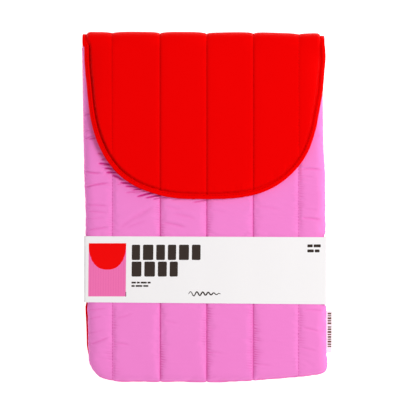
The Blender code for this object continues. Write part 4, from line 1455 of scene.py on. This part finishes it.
def band_line():
    """Middle line (x, z) of the card: from its outer end on the back, up the left side, over
    the front, down the right side, to the end tucked inside."""
    z_low, z_high = CARD_T / 2, CARD_TOP - CARD_T / 2
    left, right = CARD_L + TURN_L, CARD_R - TURN_R
    points = [(x, z_low) for x in np.linspace(10, left, 34)]

    def turn(x, z, start, end, radius):
        radius -= CARD_T / 2
        for angle in np.linspace(start, end, 12)[1:]:
            points.append((x + radius * math.cos(angle), z + radius * math.sin(angle)))

    quarter = math.pi / 2
    turn(left, TURN_L, -quarter, -math.pi, TURN_L)
    for t in np.linspace(0, 1, 14)[1:]:
        x = CARD_L + CARD_T / 2 - CARD_BOW * math.sin(math.pi * t)
        points.append((x, TURN_L + (CARD_TOP - 2 * TURN_L) * t))
    turn(left, CARD_TOP - TURN_L, math.pi, quarter, TURN_L)
    points.extend((x, z_high) for x in np.linspace(left, right, 110)[1:])
    turn(right, CARD_TOP - TURN_R, quarter, 0, TURN_R)
    for t in np.linspace(0, 1, 14)[1:]:
        x = CARD_R - CARD_T / 2 + CARD_BOW * math.sin(math.pi * t)
        points.append((x, CARD_TOP - TURN_R - (CARD_TOP - 2 * TURN_R) * t))
    turn(right, TURN_R, 0, -quarter, TURN_R)
    # the tucked end steps up over the other end
    points.extend((x, z_low) for x in np.linspace(right, 18, 26)[1:])
    z_tucked = CARD_T + 0.2 + CARD_T / 2
    for t in np.linspace(0, 1, 8)[1:]:
        points.append((18 - 6.5 * t, z_low + (z_tucked - z_low) * smooth(t)))
    points.extend((x, z_tucked) for x in np.linspace(11.5, -10, 8)[1:])
    return np.array(points)


def card_waver(x, v):
    """The front of the card dips on the quilting lines and waves a little; v is 0..1 up the
    band."""
    dip = -0.16 * bell(seam_distance(np.asarray(x, float))[0], 0, 13.0)
    return dip * (0.5 + 0.5 * np.sin(math.pi * v)) + 0.05 * noise2(x / 31, v * 2.0, 205)


def build_band():
    line = band_line()
    tangent = unit(np.gradient(line, axis=0))
    outward = np.stack([-tangent[:, 1], tangent[:, 0]], 1)
    x = line[:, 0]
    on_front = np.abs(line[:, 1] - (CARD_TOP - CARD_T / 2)) < 1e-6
    v = 0.5 - 0.5 * np.cos(np.pi * np.linspace(0, 1, 30))[:, None]
    upper, lower = band_edge(x)
    y = lower + (upper - lower) * v
    waver = np.where(on_front, card_waver(x, v), 0.0)

    def face(offset):
        z = line[:, 1] + outward[:, 1] * offset + waver
        return np.stack(np.broadcast_arrays(x + outward[:, 0] * offset, y, z), -1)

    obj = sheet("belly_band_card", face(CARD_T / 2), face(-CARD_T / 2), MAT["card"])
    attach(obj, "band", "white_card", "belly_band")


build_band()

# ================================================================ print on the band
PRINT_UP = 1.5                                     # moves all print up the card
PRINT_SHEAR, PRINT_SHEAR_Y = 0.011, 66             # and slants it a little


def print_piece(name, shapes, mat, thick=0.035, lift=0.012, cell=2.0):
    """Ink as thin closed solids on the card: outlines (x, y), filled and cut into cells."""
    bm = bmesh.new()
    shapes = [
        [(x + PRINT_SHEAR * (y + PRINT_SHEAR_Y), y + PRINT_UP) for x, y in outline]
        for outline in shapes
    ]
    for outline in shapes:
        bm.faces.new([bm.verts.new((x, y, 0)) for x, y in outline])
    for axis in (0, 1):
        values = [point[axis] for outline in shapes for point in outline]
        cut = math.ceil(min(values) / cell) * cell
        while cut < max(values):
            place, normal = [0, 0, 0], [0, 0, 0]
            place[axis], normal[axis] = cut, 1
            bmesh.ops.bisect_plane(bm, geom=bm.verts[:] + bm.edges[:] + bm.faces[:],
                                   plane_co=place, plane_no=normal, dist=1e-5)
            cut += cell
    base = list(bm.faces)
    for face in base:
        if face.normal.z < 0:
            face.normal_flip()
    raised = bmesh.ops.extrude_face_region(bm, geom=base)
    tops = {v for v in raised["geom"] if isinstance(v, bmesh.types.BMVert)}
    for vert in bm.verts:
        x, y = vert.co.x, vert.co.y
        upper, lower = band_edge(x)
        z = CARD_TOP + card_waver(x, (y - lower) / (upper - lower))
        z = z + lift + (thick if vert in tops else 0.0)
        vert.co = Vector((x + X_CENTRE, y, float(z))) * MM
    bmesh.ops.recalc_face_normals(bm, faces=bm.faces)
    mesh = bpy.data.meshes.new(name)
    bm.to_mesh(mesh)
    bm.free()
    mesh.materials.append(MAT[mat])
    obj = bpy.data.objects.new(name, mesh)
    COLLECTION.objects.link(obj)
    attach(obj, "band", "white_card")


def bar_row(x0, x1, y0, y1, shares, gap, radius):
    """A row of rounded bars that share a width."""
    width = (x1 - x0) - gap * (len(shares) - 1)
    out, x = [], x0
    for share in shares:
        bar = width * share / sum(shares)
        out.append(rounded_box(x, y0, x + bar, y1, radius, 3))
        x += bar + gap
    return out


def print_picture():
    """A plain picture of the sleeve: a pink field, a red half round and thin upright lines."""
    left, right, low, high = -121.6, -82.5, -93.9, -38.4
    centre, half = (left + right) / 2, (right - left) / 2
    drop, power, overlap = 27.6, 0.86, 0.02
    arc = []
    for angle in np.linspace(0, math.pi, 41)[1:-1]:
        c = math.cos(angle)
        x = centre + half * math.copysign(abs(c) ** power, c)
        arc.append((x, high - drop * abs(math.sin(angle)) ** power))
    red = [(left, high)] + arc[::-1] + [(right, high)]
    pink = [(left, low), (right, low), (right, high - overlap)] + arc + [(left, high - overlap)]
    print_piece("print_picture_red", [red], "ink_red")
    print_piece("print_picture_pink", [pink], "ink_pink")
    lines = []
    for x in np.linspace(left + 2.4, right - 2.4, 14):
        top = high - drop * math.sqrt(max(0.0, 1 - ((x - centre) / half) ** 2)) - 0.9
        lines.append(rounded_box(x - 0.16, low + 0.8, x + 0.16, top, 0.15, 1))
    print_piece("print_picture_lines", lines, "ink_rose", thick=0.03, lift=0.05)


def print_bars():
    """Plain bars stand where words would be."""
    # x0, x1, y0, y1, shares of the width, gap, corner radius
    heading = [
        (-76.6, -4.8, -55.9, -39.9, (1.0, 1.25, 1.05, 1.0, 1.2, 1.05), 3.0, 1.2),
        (-76.6, -28.4, -73.2, -57.5, (1.15, 1.25, 1.05, 0.95), 3.0, 1.2),
    ]
    small = [
        (-76.6, -56.6, -80.4, -78.6, (3, 2, 4, 2), 0.9, 0.5),
        (-76.6, -59.0, -83.9, -82.1, (2, 4, 3), 0.9, 0.5),
        (106.6, 120.6, -42.6, -39.6, (3, 4), 1.0, 0.7),
        (106.6, 119.4, -47.9, -44.9, (4, 3), 1.0, 0.7),
    ]
    shapes = [bar for row in heading for bar in bar_row(*row)]
    print_piece("print_heading_bars", shapes, "ink_dark")
    shapes = [bar for row in small for bar in bar_row(*row)]
    shapes.append(rounded_box(-82.9, -94.0, -82.0, -89.2, 0.3, 3))
    print_piece("print_small_bars", shapes, "ink_dark", cell=1.5)


def print_wave(width=1.5):
    """A pen stroke that waves along and dies down to the right."""
    t = np.linspace(0, 1, 90)
    wave = 2.5 * np.sin(2 * math.pi * 5.5 * t ** 1.1) * (1 - 0.75 * t)
    line = np.stack([-16.8 + 33.2 * t, -91.4 + (wave + 0.4 * np.sin(math.pi * t))], 1)
    tangent = unit(np.gradient(line, axis=0))
    normal = np.stack([-tangent[:, 1], tangent[:, 0]], 1)
    swell = np.sin(np.linspace(0.12, math.pi - 0.12, len(line)))
    half = normal * (width * (0.35 + 0.65 * swell))[:, None] / 2
    print_piece("print_pen_wave", [np.concatenate([line + half, (line - half)[::-1]])],
                "ink_dark", cell=1.5)


print_picture()
print_bars()
print_wave()

# ================================================================ side tag
TAG_X0, TAG_X1 = TAG_LO[0] - X_CENTRE - 1.6, TAG_HI[0] - X_CENTRE
TAG_Y0, TAG_Y1 = TAG_LO[1], TAG_HI[1]
TAG_ROWS, TAG_COLS = 44, 16
TAG_SHIFT = 0.2                                    # the tag sits this far towards the body
# lengths of the woven marks down the tag; a wider gap comes before the sixth
MARK_LENGTHS = (1.7, 1.1, 2.0, 1.4, 1.8, 1.2, 1.6, 2.1, 1.3, 1.7, 1.1, 1.9, 1.5, 1.2)


def tag_surface(sign):
    out, up = np.meshgrid(np.linspace(0, 1, TAG_COLS), np.linspace(0, 1, TAG_ROWS))
    curl = 0.5 * (out ** 2) * np.sin(up * 2.4 + 0.5) + 0.15 * np.sin(up * 9.0) * out
    tip = (np.clip(out - 0.93, 0, 1) / 0.07) ** 2
    thick = 0.34 * np.sqrt(np.clip(1 - tip, 0.03, 1))
    rib = 0.03 * np.sin(up * (TAG_Y1 - TAG_Y0) * 2 * math.pi / 0.9)
    x = TAG_X0 + (TAG_X1 - TAG_X0) * out + 0.25 * (up - 0.5) * 2 - TAG_SHIFT
    y = TAG_Y0 + (TAG_Y1 - TAG_Y0) * up
    return np.stack([x, y, Z_SEAM + curl + sign * (thick + rib)], -1)


def surface_z(surface, x, y):
    """Height of a tag surface at x, y."""
    a = np.clip((x - TAG_X0 + TAG_SHIFT) / (TAG_X1 - TAG_X0), 0, 1) * (TAG_COLS - 1)
    b = np.clip((y - TAG_Y0) / (TAG_Y1 - TAG_Y0), 0, 1) * (TAG_ROWS - 1)
    i, j = int(min(a, TAG_COLS - 2)), int(min(b, TAG_ROWS - 2))
    fa, fb = a - i, b - j
    low = surface[j, i, 2] * (1 - fa) + surface[j, i + 1, 2] * fa
    high = surface[j + 1, i, 2] * (1 - fa) + surface[j + 1, i + 1, 2] * fa
    return low * (1 - fb) + high * fb


def add_mark(verts, faces, y0, y1, surface, sign):
    """A thin closed mark across the tag, between heights y0 and y1."""
    nx, ny = 3, 4
    start = len(verts)
    for layer in (0.02, 0.10):
        for y in (y0 + (y1 - y0) * j / (ny - 1) for j in range(ny)):
            for i in range(nx):
                x = TAG_X0 + 3.5 + 3.7 * i / (nx - 1)
                verts.append((x, y, surface_z(surface, x, y) + sign * layer))

    def at(layer, j, i):
        return start + layer * nx * ny + j * nx + i

    for j in range(ny - 1):
        for i in range(nx - 1):
            faces.append([at(0, j, i), at(0, j + 1, i), at(0, j + 1, i + 1), at(0, j, i + 1)])
            faces.append([at(1, j, i), at(1, j, i + 1), at(1, j + 1, i + 1), at(1, j + 1, i)])
    rim = [(0, i) for i in range(nx)] + [(j, nx - 1) for j in range(1, ny)]
    rim += [(ny - 1, i) for i in range(nx - 2, -1, -1)] + [(j, 0) for j in range(ny - 2, 0, -1)]
    for a, b in zip(rim, rim[1:] + rim[:1]):
        faces.append([at(0, *a), at(0, *b), at(1, *b), at(1, *a)])


def build_tag():
    top, low = tag_surface(1), tag_surface(-1)
    obj = sheet("side_tag_woven", top, low, MAT["label"])
    attach(obj, "tag", "woven_label", "side_tag")
    verts, faces = [], []
    y = TAG_Y1 - 2.0
    for i, length in enumerate(MARK_LENGTHS):
        if i == 5:
            y -= 1.4
        add_mark(verts, faces, y - length, y, top, 1)
        add_mark(verts, faces, y - length, y, low, -1)
        y -= length + 1.0
    verts = np.array(verts)
    obj = make_object("side_tag_marks", verts, faces, verts[:, :2], [MAT["label_ink"]])
    attach(tidy(obj, merge=True), "tag", "woven_label")


build_tag()


# ================================================================ inside the pocket
def build_seam_binding():
    """Tape along the inside of the seam: down the left, across the bottom, up the right."""
    side_x, corner_x, top_y, corner_y = 117.0, 99, 158, -150
    points = [(-side_x + lean(y), y) for y in np.linspace(top_y, corner_y, 60)]
    start = -side_x + lean(corner_y)
    for angle in np.linspace(0, math.pi / 2, 10)[1:]:
        x = start + (-corner_x - start) * (1 - math.cos(angle))
        points.append((x, corner_y - 21.5 * math.sin(angle)))
    for x in np.linspace(-corner_x, corner_x, 60)[1:]:
        points.append((x, -173.5 + (bottom_edge(x) - Y_LOW) * (1 if x > -80 else 0.9)))
    for angle in np.linspace(math.pi / 2, 0, 10)[1:]:
        x = corner_x + (side_x - corner_x) * math.cos(angle)
        points.append((x, corner_y - 14.5 * math.sin(angle)))
    points.extend((side_x, y) for y in np.linspace(corner_y, top_y, 60)[1:])
    points = np.array(points)
    places = np.linspace(0, lengths_along(points)[-1], 260)
    z = Z_SEAM + 0.25 * noise2(places / 19, 6.0, 405)
    path = np.column_stack([resample(points, places), z])
    side, up = path_frame(path, np.tile([0, 0, 1.0], (len(path), 1)))
    sections = tape_sections(path, 5.6, height=1.5, radius=0.6, seed=331, amount=0.08)
    obj = sweep("seam_binding_tape", path, side, up, sections, MAT["tape"])
    attach(obj, "sleeve", "red_binding", "seam_binding")


def patch(name, z, thick, sign, mat, thread, pitch, height, body, slot, replaced):
    """A sewn patch with rounded corners; its working face carries rows of small bumps."""
    nx, ny = int(PATCH_W / pitch) * 2 + 1, int(PATCH_H / pitch) * 2 + 1
    across, up = np.meshgrid(np.linspace(-1, 1, nx), np.linspace(-1, 1, ny))
    x, y = across * PATCH_W / 2, up * PATCH_H / 2
    # squeeze the corners round
    radius = 3.0
    flat_x, flat_y = PATCH_W / 2 - radius, PATCH_H / 2 - radius
    over_x = np.clip(np.abs(x) - flat_x, 0, radius)
    over_y = np.clip(np.abs(y) - flat_y, 0, radius)
    far = np.hypot(over_x, over_y)
    squeeze = np.where(far > 1e-9, np.maximum(over_x, over_y) / np.maximum(far, 1e-9), 1.0)
    x = np.sign(x) * (np.minimum(np.abs(x), flat_x) + over_x * squeeze)
    y = np.sign(y) * (np.minimum(np.abs(y), flat_y) + over_y * squeeze)
    # bumps on every other point, inside a plain margin
    i, j = np.meshgrid(np.arange(nx), np.arange(ny))
    margin = 3.2
    plain = np.abs(across) > 1 - margin / (PATCH_W / 2)
    plain |= np.abs(up) > 1 - margin / (PATCH_H / 2)
    bump = np.where((i % 2 == 1) & (j % 2 == 1) & ~plain, height, 0.0)
    bump = bump * (0.8 + 0.2 * noise2(x / 1.3, y / 1.1, 501))
    x, y = x + PATCH_X, y + PATCH_Y
    face = np.stack([x, y, z + sign * (thick + bump)], -1)
    flat = np.stack([x, y, np.full(x.shape, z)], -1)
    attach(sheet(name, face, flat, MAT[mat]), body, slot, replaced)
    sewn_x, sewn_y = PATCH_W / 2 - 1.6, PATCH_H / 2 - 1.6
    ring = np.array([
        (PATCH_X + a * sewn_x, PATCH_Y + b * sewn_y)
        for a, b in ((-1, -1), (1, -1), (1, 1), (-1, 1), (-1, -1))
    ])
    places = np.linspace(0.5, lengths_along(ring)[-1] - 0.5, 120)
    level = np.full(len(places), z + sign * (thick + 0.05))
    path = np.column_stack([resample(ring, places), level])
    up = np.tile([0, 0, float(sign)], (len(path), 1))
    attach(stitches(name + "_stitches", path, up, MAT[thread], **PATCH_STITCH), body)


def build_care_label():
    lo, hi = span("care_label")
    y, z = np.meshgrid(np.linspace(lo[1], hi[1], 26), np.linspace(lo[2], hi[2], 12))
    bend = 0.5 * np.sin((y - lo[1]) / (hi[1] - lo[1]) * math.pi) + 0.15 * np.sin(z * 0.7)
    x = (lo[0] + hi[0]) / 2 - X_CENTRE + bend
    half = 0.18
    faces = [np.stack([x + offset, y, z], -1) for offset in (half, -half)]
    attach(sheet("care_label_cloth", *faces, MAT["label"]), "sleeve", "woven_label", "care_label")


build_seam_binding()
patch("loop_patch_pile", z=Z_FRONT - 0.72, thick=0.75, sign=1, mat="loop", thread="pink_thread",
      pitch=0.9, height=0.22, body="sleeve", slot="loop_tape", replaced="loop_patch")
patch("hook_patch_field", z=Z_FLAP - 1.05, thick=0.62, sign=-1, mat="hook", thread="red_thread",
      pitch=1.0, height=0.24, body="flap", slot="hook_tape", replaced="hook_patch")
build_care_label()

# the glue film keeps its own shape
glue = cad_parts["band_adhesive"]
glue.data.materials.clear()
glue.data.materials.append(MAT["glue"])


# ================================================================ floor, light, camera (metres)
def build_floor():
    material = Shader("pale_floor").surface({
        "Base Color": (0.90, 0.90, 0.90, 1),
        "Roughness": 0.85,
        "Specular IOR Level": 0.1,
        "Emission Color": (1, 1, 1, 1),
        "Emission Strength": 0.85,
    })
    bm = bmesh.new()
    bmesh.ops.create_grid(bm, x_segments=8, y_segments=8, size=6.0)
    mesh = bpy.data.meshes.new("floor")
    bm.to_mesh(mesh)
    bm.free()
    mesh.materials.append(material)
    floor = bpy.data.objects.new("floor", mesh)
    floor.location.z = -0.0001
    COLLECTION.objects.link(floor)


def build_world():
    world = bpy.data.worlds.new("studio")
    bpy.context.scene.world = world
    world.use_nodes = True
    background = world.node_tree.nodes["Background"]
    background.inputs["Color"].default_value = (1, 1, 1, 1)
    background.inputs["Strength"].default_value = 0.46


def area(name, location, target, size, power):
    """A rectangular light that faces its target and stays out of the camera's sight."""
    data = bpy.data.lights.new(name, "AREA")
    data.shape = "RECTANGLE"
    data.size, data.size_y = size
    data.energy = power
    lamp = bpy.data.objects.new(name, data)
    lamp.location = location
    direction = Vector(target) - Vector(location)
    lamp.rotation_euler = direction.to_track_quat("-Z", "Y").to_euler()
    lamp.visible_camera = False
    COLLECTION.objects.link(lamp)


def build_camera(height=2.0, subject_height=0.018, view_width=0.4368, sensor=36.0):
    """Looks straight down; view_width is what it sees across at the subject's height."""
    data = bpy.data.cameras.new("camera")
    data.sensor_width = sensor
    data.lens = sensor * (height - subject_height) / view_width
    data.clip_end = 20.0
    camera = bpy.data.objects.new("camera", data)
    camera.location = ((X_CENTRE + 3.15) * MM, -0.1 * MM, height)
    COLLECTION.objects.link(camera)
    bpy.context.scene.camera = camera


build_floor()
build_world()
area("key", location=(1.42, 0.34, 1.75), target=(0.0, 0.0, 0.02), size=(0.9, 0.9), power=30.6)
area("fill_top", location=(0.0, 0.9, 1.6), target=(0.0, 0.0, 0.0), size=(1.2, 0.8), power=0.6)
area("fill_low", location=(0.9, -1.1, 1.2), target=(0.1, -0.15, 0.0), size=(0.8, 0.8), power=2.6)
area("fill_left", location=(-1.5, -0.3, 1.2), target=(0.0, 0.0, 0.02), size=(1.0, 1.0), power=2.0)
build_camera()
bpy.context.scene.view_settings.view_transform = "Standard"
bpy.context.scene.view_settings.look = "None"
